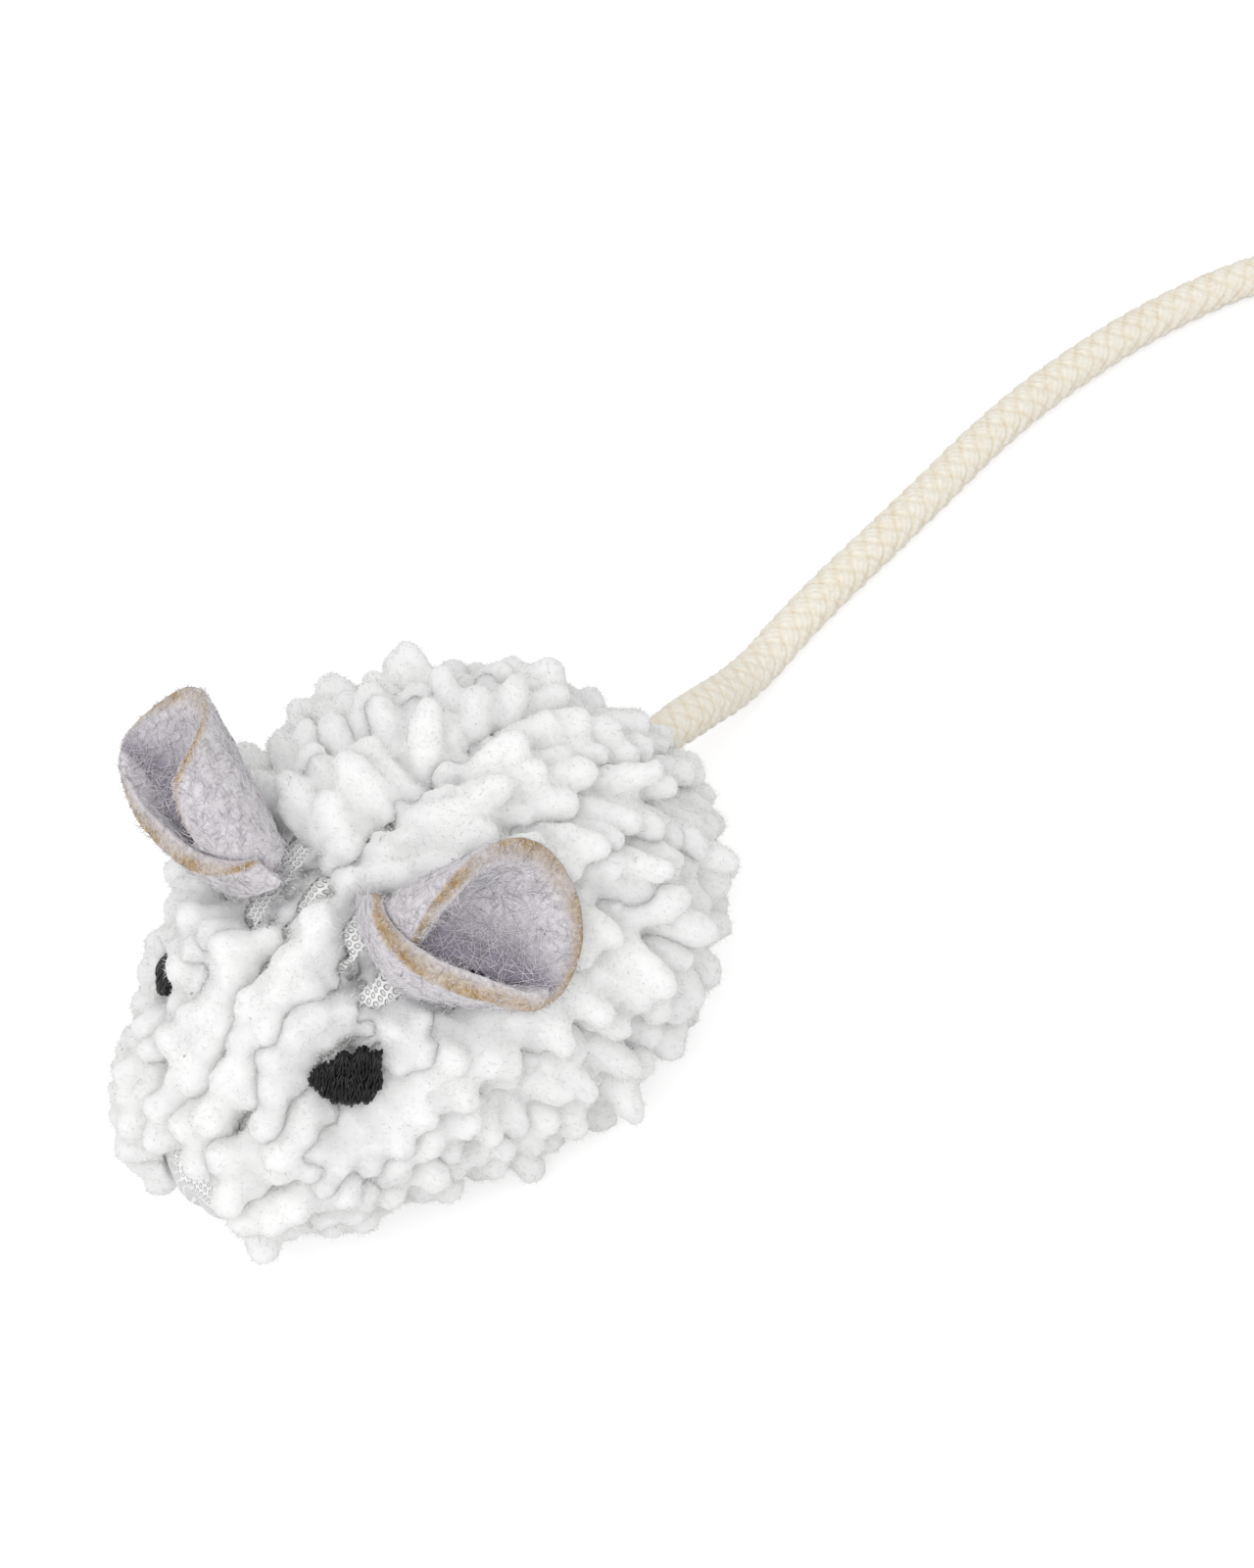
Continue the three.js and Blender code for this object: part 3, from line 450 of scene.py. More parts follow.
def skin_grid(columns, rows):
    """The skin from nose to rump and from the left underside over the back to the right one."""
    along, width, top, under = smooth_rows(stations, np.linspace(0, last_station, columns)).T
    angle = np.linspace(0, math.pi, 257)
    rounding = 2 / section_roundness
    across = np.abs(np.sin(angle)) ** rounding * (width * body_width / 2)[:, None]
    rise = np.sign(np.cos(angle)) * np.abs(np.cos(angle)) ** rounding
    height = ((top + under)[:, None] + (top - under)[:, None] * rise) * body_height / 2
    height = np.maximum(height, 0)
    pieces = np.hypot(np.diff(across, axis=1), np.diff(height, axis=1))
    travelled = np.hstack([np.zeros((columns, 1)), np.cumsum(pieces, axis=1)])
    shares = np.linspace(0, 1, rows)
    half = np.zeros((columns, rows, 3))
    for column in range(columns):
        place = travelled[column] / travelled[column, -1]
        half[column, :, 0] = np.interp(shares, place, across[column])
        half[column, :, 1] = along[column] * body_length - nose_reach
        half[column, :, 2] = np.interp(shares, place, height[column])
    return np.concatenate([half[:, :0:-1] * (-1, 1, 1), half], axis=1), travelled[:, -1]


skin, half_rounds = skin_grid(481, 161)
back_line = skin[:, skin.shape[1] // 2]
tailward = unit(np.gradient(skin, axis=0))
outward = unit(np.cross(np.gradient(skin, axis=1), tailward))
outward[:3] = (0, -1, 0)
outward[-3:] = (0, 1, 0)
tailward = unit(tailward - outward * np.sum(tailward * outward, axis=2, keepdims=True))


def read_grid(grid, steps, shares):
    """Values of a grid over the skin at station steps and at shares of the way round."""
    column = np.clip(np.asarray(steps) / last_station, 0, 1) * (grid.shape[0] - 1)
    row = ((np.asarray(shares) + 1) % 2) / 2 * (grid.shape[1] - 1)
    c = np.minimum(column.astype(int), grid.shape[0] - 2)
    r = np.minimum(row.astype(int), grid.shape[1] - 2)
    u, v = (column - c)[..., None], (row - r)[..., None]
    return (grid[c, r] * (1 - v) + grid[c, r + 1] * v) * (1 - u) + (
        grid[c + 1, r] * (1 - v) + grid[c + 1, r + 1] * v
    ) * u


def step_at(along):
    """The station step at a place along the body."""
    return np.interp(along, skin[:, 0, 1], np.linspace(0, last_station, len(skin)))


def half_round_at(steps):
    """The way from the middle of the underside to the middle of the back at station steps."""
    return np.interp(steps, np.linspace(0, last_station, len(half_rounds)), half_rounds)


def net_material():
    """Threads of a knitted net round holes in staggered rows, which show the lining."""
    look = Finish("net_over_lining")
    sum_of = look.reckon
    waver = look.grain(Scale=260.0, Detail=1.0)
    shift = sum_of("MULTIPLY", sum_of("SUBTRACT", waver["Amount"], 0.5), 2.2)
    round_way = sum_of("DIVIDE", look.mark("round"), hole_pitch_round)
    along_way = sum_of("DIVIDE", look.mark("along"), hole_pitch_along)
    u, v = (sum_of("ADD", sum_of("ADD", way, shift), many_holes) for way in (round_way, along_way))
    odd = sum_of("MULTIPLY", sum_of("MODULO", sum_of("FLOOR", u), 2.0), 0.5)
    across = sum_of("SUBTRACT", sum_of("FRACT", u), 0.5)
    lengthwise = sum_of("SUBTRACT", sum_of("FRACT", sum_of("ADD", v, odd)), 0.5)
    squares = [sum_of("POWER", sum_of("DIVIDE", way, hole_share), 2.0) for way in (across, lengthwise)]
    reach = sum_of("SQRT", sum_of("ADD", *squares))
    thread = look.add(
        "ShaderNodeMapRange", interpolation_type="SMOOTHSTEP", Value=reach, From_Min=0.66, From_Max=1.1
    ).outputs["Result"]
    patch = look.grain(Scale=420.0, Detail=3.0)
    lining = look.colours(patch["Amount"], (0.35, (0.73, 0.73, 0.72)), (0.7, (0.9, 0.9, 0.89)))
    colour = look.mix("MIX", thread, lining, (0.94, 0.94, 0.94, 1))
    rough = look.add("ShaderNodeMapRange", Value=thread, To_Min=0.95, To_Max=0.38)
    bump = look.add("ShaderNodeBump", Strength=1.0, Distance=0.00035, Height=thread)
    return look.done(Base_Color=colour, Roughness=rough.outputs["Result"], Normal=bump.outputs["Normal"])


net = net_material()


def closed_panel(outer, inner):
    """A panel with a wall, from matching grids of its outer and inner points."""
    columns, rows = outer.shape[:2]
    points = np.vstack([outer.reshape(-1, 3), inner.reshape(-1, 3)])
    inside = columns * rows
    faces = []
    for c in range(columns - 1):
        for r in range(rows - 1):
            a, b = c * rows + r, (c + 1) * rows + r
            faces.append((a, a + 1, b + 1, b))
            faces.append((inside + a, inside + b, inside + b + 1, inside + a + 1))
    edge = [c * rows for c in range(columns)]
    edge += [(columns - 1) * rows + r for r in range(1, rows)]
    edge += [c * rows + rows - 1 for c in range(columns - 2, -1, -1)]
    edge += [r for r in range(rows - 2, 0, -1)]
    for a, b in zip(edge, edge[1:] + edge[:1]):
        faces.append((a, b, inside + b, inside + a))
    return points, faces


def skin_panel(name, node, steps, shares):
    """One panel of the cover between shares that may change along the body."""
    middle = (shares[:, :1] + shares[:, -1:]) / 2
    half_round = half_round_at(steps[:, :1])
    edge = half_round * (np.abs(shares[:, -1:] - shares[:, :1]) / 2 - np.abs(shares - middle))
    drawn = seam_draw * np.exp(-((edge / seam_draw_width) ** 2))[..., None]
    normals = unit(read_grid(outward, steps, shares))
    outer = read_grid(skin, steps, shares) - normals * drawn
    inner = outer - normals * cover_thickness
    outer[..., 2] = np.maximum(outer[..., 2], 0)
    inner[..., 2] = np.maximum(inner[..., 2], cover_thickness * 0.9)
    points, faces = closed_panel(outer, inner)
    round_way = np.tile((shares * half_round * 1000).ravel(), 2)
    along_way = np.interp(steps, np.linspace(0, last_station, len(skin)), run_along(back_line)) * 1000
    marks = {"round": round_way, "along": np.tile(along_way.ravel(), 2)}
    panel = add_piece(name, points, faces, net, "body", marks)
    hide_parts(node)


steps = np.linspace(0, last_station, 181)
belly_steps = np.linspace(step_at(belly_front), step_at(belly_rear), 90)
fine_shares = np.linspace(0.5, 1, 400)


def belly_edge(step):
    """The share of the way round at which the belly panel begins."""
    points = read_grid(skin, np.full(len(fine_shares), step), fine_shares)
    outside = (points[:, 0] > belly_half_width) | (points[:, 2] > belly_rise)
    return fine_shares[np.nonzero(outside)[0][-1]]


belly_edges = np.array([belly_edge(step) for step in belly_steps])
side_steps = np.unique(np.concatenate([steps, belly_steps[[0, -1]] + [-0.002, 0.002], belly_steps]))
side_ends = np.interp(side_steps, belly_steps, belly_edges)
half_round = half_round_at(side_steps)
side_ends -= seam_gap / half_round
side_ends[(side_steps < belly_steps[0] - 0.001) | (side_steps > belly_steps[-1] + 0.001)] = 1
starts = np.minimum(seam_gap / 2 / half_round, 0.4)
panel_rows = 60
shares = starts[:, None] + (side_ends - starts)[:, None] * np.linspace(0, 1, panel_rows)
rows = np.repeat(side_steps[:, None], panel_rows, axis=1)
skin_panel("side_panel_left", "cover_left", rows, shares)
skin_panel("side_panel_right", "cover_right", rows, -shares[:, ::-1])
rows = np.repeat(belly_steps[1:-1, None], panel_rows, axis=1)
shares = belly_edges[1:-1, None] + (1 - belly_edges)[1:-1, None] * np.linspace(0, 2, panel_rows)
skin_panel("belly_panel", "cover_belly", rows, shares)

# Noodle rows: seven strips on each side, each a tape of backing with soft microfibre noodles on it,
# 5 mm thick. They are short bumps on the face, and on the back they are longer and hang down to
# either side and a little tailward. Their tips, flanks and feet run into each other as one pile.
rows_per_side = 7
row_pitch, strip_width, strip_height = 0.0084, 0.0044, 0.0012
noodle_radius, face_length, back_length, rump_length = 0.0024, 0.0065, 0.0105, 0.0085
noodle_sides, longest_noodle = 5, 0.03
rest_height = seam_gap + strip_height + seam_gap
ears_at = {
    1: np.array([[0.01352, -0.01688, 0.04804], [0.845, 0.403, 0.351], [0.451, -0.89, -0.065]]),
    -1: np.array([[-0.01209, -0.01703, 0.04713], [-0.773, -0.065, 0.631], [-0.23, -0.898, -0.374]]),
}
ear_mouths = {1: (0.01397, 0.012, -0.00098, 0.35), -1: (0.01016, 0.01101, 0.00195, 0.58)}
ear_length, felt_thickness = 0.023, 0.0028
ear_foot_width, ear_foot_depth = 0.0062, 0.003
ear_swings, ear_room, ear_root = (-0.1, 0, 0.075, 0.15), 0.0022, 0.006
tail_swings = np.radians((-23, -11.5, 0, 11.5, 23))
eye_along, eye_share, eye_radius = -0.0295, 0.265, 0.0043
widest_half_round = half_round_at(7)
lowest_tip = 0.0028
long_row_front, short_row_front, row_rear = -0.0435, -0.037, 0.0435
long_tape, short_tape = (-0.0435, 0.043), (-0.033, 0.038)
ear_gap, rope_gap, eye_overlap, neighbourhood = 0.0002, 0.0032, 0.0005, 0.02
solid_spacing, face_spacing, more_spacing_behind = 0.003, 0.0027, 0.0005
thick_noodles, thin_noodles = (1.0, 700), (0.68, 560)
solid_lie_spread, more_lie_spread, length_spread = 0.14, 0.17, (0.85, 1.2)
row_reach, thin_closer, thin_noodles_end = 0.52, 0.6, 0.002
lowest_foot, chin_rear, chin_top = 0.0015, -0.02, 0.009
tufts_along, lowest_tuft, behind_ears_from = 30, 0.0035, -0.008
wide_lanes, narrow_lanes, lane_back = (-0.33, 0, 0.33, 0.5), (0, 0.5), -0.5
tuft_sizes = ((0.0026, 0.9), (0.002, 0.62), (0.0015, 0.45))
eye_ring_count, eye_ring_gap, eye_ring_turn = 12, (0.0016, 0.0026), (-0.15, 0.15)
ring_ear_room, lowest_ring_foot, cheek_lean = 0.002, 0.003, 0.55
ring_noodle, cheek_noodle = (0.0028, 0.7), (0.0062, 1.0)
pile_voxel, lump_depth, curl_depth = 0.00056, 0.0008, 0.0003
pile_fibres = {"per_square_mm": 2.4, "length": (0.0005, 0.0012), "radius": 0.00005, "rise": (0.3, 0.95)}


def smoothstep(value, low, high):
    share = np.clip((value - low) / (high - low), 0, 1)
    return share * share * (3 - 2 * share)


def ear_axes(side):
    """The middle of an ear's foot, and where its roll points, opens and spreads."""
    base, pointing, opening = ears_at[side]
    pointing = unit(pointing)
    opening = unit(opening - pointing * np.dot(opening, pointing))
    return base, pointing, opening, np.cross(opening, pointing)


def ear_loop(side, height, roll):
    """Half width, half depth and forward shift of the roll at a height; its front is the flatter side."""
    half_width, half_depth, forward, front_share = ear_mouths[side]
    share = np.clip(height / ear_length, 0, 1)
    bulge = 1 + (front_share - 1) * (1 - np.cos(roll)) / 2
    wide = ear_foot_width + (half_width - ear_foot_width) * share**0.8
    deep = ear_foot_depth + (half_depth * bulge - ear_foot_depth) * share**0.9
    return wide, deep, forward * share


def clear_of_ears(points):
    """Distance from points to the space that the ears sweep."""
    least = np.full(len(points), 1.0)
    for side in (1, -1):
        base, pointing, opening, seam = ear_axes(side)
        away = points - base
        for swing in ear_swings:
            up, front, width = away @ pointing, away @ opening, away @ seam
            height = up * math.cos(swing) + front * math.sin(swing)
            depth = front * math.cos(swing) - up * math.sin(swing)
            half_width, half_depth, forward = ear_loop(side, height, np.arctan2(width, -depth))
            wide, deep = half_width + ear_room, half_depth + ear_room
            ratio = np.hypot((depth - forward) / deep, width / wide)
            beside = (ratio - 1) * np.minimum(wide, deep)
            above_or_below = np.maximum(height - ear_length, -ear_root - height)
            least = np.minimum(least, np.maximum(beside, above_or_below))
    return least


rump_line = rope_line[:55]


def clear_of_tail(points):
    """Distance from points to the rope's centre line as the tail swings."""
    least = np.full(len(points), 1.0)
    for swing in tail_swings:
        cos, sin = math.cos(swing), math.sin(swing)
        turn = np.array([[cos, -sin, 0], [sin, cos, 0], [0, 0, 1]])
        swung = (rump_line - rump_line[0]) @ turn.T + rump_line[0]
        least = np.minimum(least, np.linalg.norm(points[:, None] - swung[None], axis=2).min(axis=1))
    return least


eye_step = step_at(eye_along)
eye_normal = unit(read_grid(outward, eye_step, eye_share))
eye_middle = read_grid(skin, eye_step, eye_share) + eye_normal * (rest_height + 0.0008)
eye_middles = np.array([eye_middle, eye_middle * (-1, 1, 1)])


def merged(nodes):
    """The corners and triangles of CAD nodes, with equal corners made one."""
    points, triangles, start = [], [], 0
    for node in nodes:
        corners, sides = mesh_arrays(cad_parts[node])
        points.append(corners)
        triangles.append(sides + start)
        start += len(corners)
    points, triangles = np.vstack(points), np.vstack(triangles)
    _, first, index = np.unique(np.round(points * 1e5), axis=0, return_index=True, return_inverse=True)
    return points[first], index.ravel()[triangles]


cover_points, cover_triangles = merged(["cover_left", "cover_right", "cover_belly"])
cover_tree = BVHTree.FromPolygons(cover_points.tolist(), cover_triangles.tolist())


def solid_noodles(node):
    """Foot, direction and length of each noodle of a row's solid, from its five-sided tips."""
    points, triangles = merged([node])
    beside = [set() for _ in points]
    touching = np.zeros(len(points), int)
    for triangle in triangles:
        for corner in triangle:
            beside[corner].update(triangle)
            touching[corner] += 1
    found = []
    for corner, others in enumerate(beside):
        if touching[corner] != noodle_sides or len(others) != noodle_sides + 1:
            continue
        ring = points[[other for other in others if other != corner]]
        middle = ring.mean(axis=0)
        spread = np.linalg.norm(ring - middle, axis=1)
        tip = points[corner] - middle
        off_height = abs(np.linalg.norm(tip) - 0.9 * noodle_radius)
        if max(off_height, np.abs(spread - noodle_radius).max()) > 1e-4:
            continue
        direction = unit(tip)
        hit, _, _, _ = cover_tree.ray_cast(Vector(middle), Vector(-direction), longest_noodle)
        if hit is not None:
            foot = np.array(hit)
            found.append((foot, direction, np.linalg.norm(points[corner] - foot)))
    return found


def lay_of(side, foot, normal, tail_way):
    """The way a noodle lies: forward on the nose, tailward under the cheeks, down the side on the back."""
    back = smoothstep(foot[1], -0.038, -0.004)
    low = 1 - smoothstep(foot[2], 0.004, 0.024)
    down = -side * np.cross(normal, tail_way)
    face_way = normal + tail_way * (1.3 * low - 0.4 * (1 - low)) + down * 0.25
    back_way = normal * 0.5 + down * 0.78 + tail_way * 0.42
    return unit(unit(face_way) * (1 - back) + unit(back_way) * back)


def length_at(foot):
    """How long a noodle grows: short on the face and near the floor, longest on the back."""
    back = smoothstep(foot[1], -0.033, 0)
    rump = smoothstep(foot[1], 0.01, 0.043)
    high = max(back, smoothstep(foot[2], 0, 0.026))
    length = face_length + (back_length - face_length) * back
    return (length + (rump_length - length) * rump) * (0.5 + 0.5 * high)


def share_of(pitches):
    """The share of the way round that so many rows take up."""
    return pitches * row_pitch / widest_half_round


def row_share(side, row):
    """The share of the way round at which the middle of a row lies."""
    return share_of(side * (row + 0.5))


def row_ends(row):
    return step_at(long_row_front if row % 2 == 0 else short_row_front), step_at(row_rear)


def off_the_floor(foot, direction, length):
    """A noodle's direction, raised where its tip would touch the floor."""
    lowest = lowest_tip - foot[2] - direction[2] * length
    return unit(direction + np.array([0, 0, lowest / length])) if lowest > 0 else direction


def noodle_line(foot, direction, length):
    """Five points along the middle of a noodle."""
    return foot + direction * (np.linspace(0.2, 0.9, 5) * length)[:, None]


def has_room(line, laid, apart, girth=1.0):
    """Whether a noodle is clear of the ears, the tail, the eyes and the noodles before it."""
    around = noodle_radius * girth
    if clear_of_ears(line).min() < around + ear_gap or clear_of_tail(line).min() < around + rope_gap:
        return False
    if np.linalg.norm(line[:, None] - eye_middles, axis=2).min() < eye_radius + around - eye_overlap:
        return False
    near = laid[np.linalg.norm(laid[:, 0] - line[0], axis=1) < neighbourhood]
    return not len(near) or np.linalg.norm(near[:, :, None] - line[None, None], axis=3).min() >= apart


chance = np.random.default_rng(41)
laid = np.zeros((0, 5, 3))
noodles_of = {}
row_names = [
    (side, row, f"noodle_row_{name}_{row + 1}")
    for side, name in ((1, "left"), (-1, "right"))
    for row in range(rows_per_side)
]

# The noodles of the solids, each turned about its foot to the way it lies.
for side, row, name in row_names:
    noodles_of[name] = []
    for foot, direction, length in solid_noodles(name):
        normal = np.array(cover_tree.find_nearest(Vector(foot))[1])
        tail_way = unit(np.array([0, 1, 0]) - normal * normal[1])
        turned = unit(lay_of(side, foot, normal, tail_way) + chance.normal(0, solid_lie_spread, 3))
        turned = off_the_floor(foot, turned, length)
        line = noodle_line(foot, turned, length)
        if not has_room(line, laid, solid_spacing):
            turned, line = direction, noodle_line(foot, direction, length)
        noodles_of[name].append((foot, turned, length, 1.0))
        laid = np.concatenate([laid, line[None]])

# A ring of short noodles round each eye, with long ones across the front of the right one.
feet = {name: np.array([noodle[0] for noodle in noodles]) for name, noodles in noodles_of.items()}
for middle, side in zip(eye_middles, (1, -1)):
    nearby = [name for way, _, name in row_names if way == side and len(feet[name])]
    facing = eye_normal * (side, 1, 1)
    beside = unit(np.cross([0, 0, 1.0], facing))
    above = np.cross(facing, beside)
    for angle in np.arange(0, 2 * math.pi, 2 * math.pi / eye_ring_count):
        angle, out = angle + chance.uniform(*eye_ring_turn), eye_radius + chance.uniform(*eye_ring_gap)
        aim = middle + (beside * math.cos(angle) + above * math.sin(angle)) * out
        foot, normal, _, _ = cover_tree.find_nearest(Vector(aim))
        foot, normal = np.array(foot), np.array(normal)
        (length, girth), direction = ring_noodle, normal
        if side < 0 and math.sin(angle) > -0.3 and math.cos(angle) < 0.5:
            (length, girth), direction = cheek_noodle, unit(normal + unit(middle - aim) * cheek_lean)
        line = noodle_line(foot, direction, length)
        name = min(nearby, key=lambda other: np.linalg.norm(feet[other] - foot, axis=1).min())
        if clear_of_ears(line).min() > ring_ear_room and foot[2] > lowest_ring_foot:
            noodles_of[name].append((foot, direction, length, girth))
            laid = np.concatenate([laid, line[None]])

# Noodles wherever there is room between those, first thick ones and then thin ones on the face.
for girth, tries in (thick_noodles, thin_noodles):
    for side, row, name in row_names:
        front, rear = row_ends(row)
        for _ in range(tries):
            step = chance.uniform(front, rear)
            spread = share_of(row_reach)
            here = row_share(side, row) + chance.uniform(-spread, spread)
            foot, normal, tail_way = (read_grid(grid, step, here) for grid in (skin, outward, tailward))
            normal, tail_way = unit(normal), unit(tail_way)
            direction = unit(lay_of(side, foot, normal, tail_way) + chance.normal(0, more_lie_spread, 3))
            low = 0.6 + 0.4 * smoothstep(foot[2], 0, 0.016)
            length = length_at(foot) * chance.uniform(*length_spread) * girth * low
            direction = off_the_floor(foot, direction, length)
            line = noodle_line(foot, direction, length)
            apart = face_spacing + more_spacing_behind * smoothstep(foot[1], -0.03, 0)
            apart *= 1 if girth == 1 else thin_closer
            under_chin = foot[1] < chin_rear and foot[2] < chin_top
            thin_behind = girth < 1 and foot[1] > thin_noodles_end
            too_low = foot[2] < lowest_foot
            if too_low or under_chin or thin_behind or not has_room(line, laid, apart, girth):
                continue
            noodles_of[name].append((foot, direction, length, girth))
            laid = np.concatenate([laid, line[None]])

# Short tufts that cover the tapes, with some of the net left bare.
for side, row, name in row_names:
    for place, step in enumerate(np.linspace(*row_ends(row), tufts_along)):
        wide = half_round_at(step) > 0.6 * widest_half_round
        lanes = wide_lanes if wide else narrow_lanes
        behind_ears = step > step_at(behind_ears_from)
        if row == 0 and behind_ears and place % 2 == (side > 0):
            lanes += (lane_back,)
        for lane in lanes:
            here = row_share(side, row) + share_of(side * (lane + chance.normal(0, 0.05)))
            foot, normal, _ = (
                read_grid(grid, step + chance.normal(0, 0.03), here) for grid in (skin, outward, tailward)
            )
            fine_wave = math.sin(foot[1] * 410 + row * 2.1)
            wide_wave = math.sin(foot[1] * 157 + row * 1.3 + side)
            bare = fine_wave * wide_wave > 0.6 and abs(lane) > 0.2
            if bare or foot[2] < lowest_tuft:
                continue
            for length, girth in tuft_sizes:
                line = noodle_line(foot, unit(normal), length)
                if has_room(line, laid[:0], 0, girth * 0.78):
                    length *= chance.uniform(0.8, 1.15)
                    noodles_of[name].append((foot, unit(normal), length, girth))
                    break


def plush_material():
    look = Finish("noodle_plush")
    mottle = look.grain(Scale=160.0, Detail=3.0)
    curl = look.grain(Scale=1500.0, Detail=4.0, Roughness=0.7, Strength=0.6, Distance=0.0002)
    tone = look.colours(mottle["Amount"], (0.3, (0.925, 0.928, 0.9)), (0.7, (0.95, 0.953, 0.927)))
    deep = look.colours(curl["Amount"], (0.3, (0.975, 0.975, 0.97)), (0.55, (1, 1, 1)))
    return look.done(
        Base_Color=look.mix("MULTIPLY", 1.0, tone, deep),
        Normal=curl["Normal"],
        Roughness=1.0,
        Subsurface_Weight=1.0,
        Subsurface_Radius=(1.0, 1.0, 0.95),
        Subsurface_Scale=0.006,
        Sheen_Weight=0.4,
        Sheen_Roughness=0.6,
    )


def fuzz_material():
    look = Finish("noodle_fuzz")
    mottle = look.grain(Scale=160.0, Detail=3.0)
    tone = look.colours(mottle["Amount"], (0.3, (0.93, 0.935, 0.92)), (0.7, (0.96, 0.962, 0.95)))
    return look.done(Base_Color=tone, Roughness=1.0, Sheen_Weight=0.6)


plush = plush_material()
fuzz = fuzz_material()


def cloud(name, size):
    texture = bpy.data.textures.new(name, "CLOUDS")
    texture.noise_scale = size
    texture.noise_depth = 2
    return texture


lumps, curls = cloud("lumps", 0.0022), cloud("curls", 0.0007)
pile_fill = 0.0005


def displace(piece, strength, texture=None, middle=0.5):
    apply_modifier(
        piece, "DISPLACE", texture=texture, strength=strength, mid_level=middle, texture_coords="LOCAL"
    )


def noodle_tube(foot, direction, length, thickness, chance):
    """One noodle: a soft finger that bends a little on its way and rounds off at the tip."""
    share = np.array([0, 0.12, 0.28, 0.46, 0.64, 0.8, 0.92, 1.0])
    girth = np.array([0.82, 0.95, 1.0, 1.02, 1.0, 0.94, 0.72, 0.28])
    normal = np.array(cover_tree.find_nearest(Vector(foot))[1])
    sideways = unit(np.cross(direction, normal) + 1e-6)
    bend = sideways * chance.normal(0, 0.0011) + np.array([0, 0, -0.001])
    line = foot + direction * (share * length * 1.04)[:, None] + bend * (share**2)[:, None]
    radius = noodle_radius * thickness * girth * chance.uniform(0.86, 1.06)
    radius = radius * (1 + chance.normal(0, 0.06, len(share))) + pile_fill
    line[:, 2] = np.maximum(line[:, 2], radius + 0.0002)
    return tube(line, sideways, radius, 9)


def backing_tape(side, row):
    """The tape that a row's noodles stand on, closed all round."""
    front, rear = long_tape if row % 2 == 0 else short_tape
    count = 60
    steps = np.linspace(step_at(front), step_at(rear), count)
    places = np.full(count, row_share(side, row))
    half_width = np.minimum(strip_width / 2, 0.36 * row_pitch * (half_round_at(steps) / widest_half_round))
    middle, normals, tail_ways = (read_grid(grid, steps, places) for grid in (skin, outward, tailward))
    normals = unit(normals)
    edge = unit(np.cross(normals, tail_ways)) * half_width[:, None]
    low, high = normals * seam_gap, normals * (seam_gap + strip_height)
    corners = [middle - edge + low, middle + edge + low, middle + edge + high, middle - edge + high]
    faces = []
    for k in range(0, 4 * count - 4, 4):
        faces += [(k + j, k + 4 + j, k + 4 + (j + 1) % 4, k + (j + 1) % 4) for j in range(4)]
    last = 4 * count - 1
    faces += [(0, 1, 2, 3), (last, last - 1, last - 2, last - 3)]
    return np.stack(corners, axis=1).reshape(-1, 3), faces


pile = np.random.default_rng(7)
for side, row, name in row_names:
    noodles = [noodle_tube(*noodle, pile) for noodle in noodles_of[name]]
    points, faces = gather([backing_tape(side, row)] + noodles)
    piece = add_piece(name.replace("noodle_row", "plush_row"), points, faces, plush, "body")
    soften(piece, pile_voxel, 4)
    displace(piece, -pile_fill, middle=0.0)
    displace(piece, lump_depth, lumps)
    displace(piece, curl_depth, curls)
    points, triangles = mesh_arrays(piece)
    spikes, sides = fibres(points, triangles, pile, **pile_fibres)
    pile_faces = add_fibres(piece, points, spikes, sides)
    piece.data.materials.append(fuzz)
    piece.data.polygons.foreach_set("material_index", np.repeat([0, 1], [pile_faces, len(sides)]))
    piece.data.update()
    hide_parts(name)

# Ears: a disc of thick grey felt each, rolled so that its two flaps overlap at the foot. The cut edge
# is singed tan on its outer corner, and long loose fibres lie all over the felt.
rim_shares = {
    1: np.array([0.03, 0.09, 0.24, 0.54, 0.69, 0.8, 0.76, 0.68, 0.54, 0.29, 0.08, 0.03]),
    -1: np.array([0.03, 0.14, 0.34, 0.69, 0.95, 0.96, 0.85, 0.73, 0.64, 0.4, 0.2, 0.06]),
}
roll_start, roll_turn = -270, 495
felt_wall = 0.00285
half_wall = felt_wall / 2
rim_round, cut_slope = 0.0006, 0.8
rim_turn = np.array(
    [
        [-half_wall + 0.00015, -0.00018], [-half_wall + 0.0005, 0], [0, 0.00008],
        [half_wall - 0.0005, 0], [half_wall - 0.00015, -0.00018],
    ]
)
crease_below_rim, crease_reach = 0.0042, 100
hair_radius, hairs_per_square_mm, hair_length = 0.00005, 2.8, (0.0014, 0.0045)
hair_past_rim, hair_room_outside, dark_hair_share = 0.0006, 0.0012, 0.2
corners_of_hair = 12
sole_above_skin, sole_thickness, settling_rounds = 0.0012, 0.0007, 6


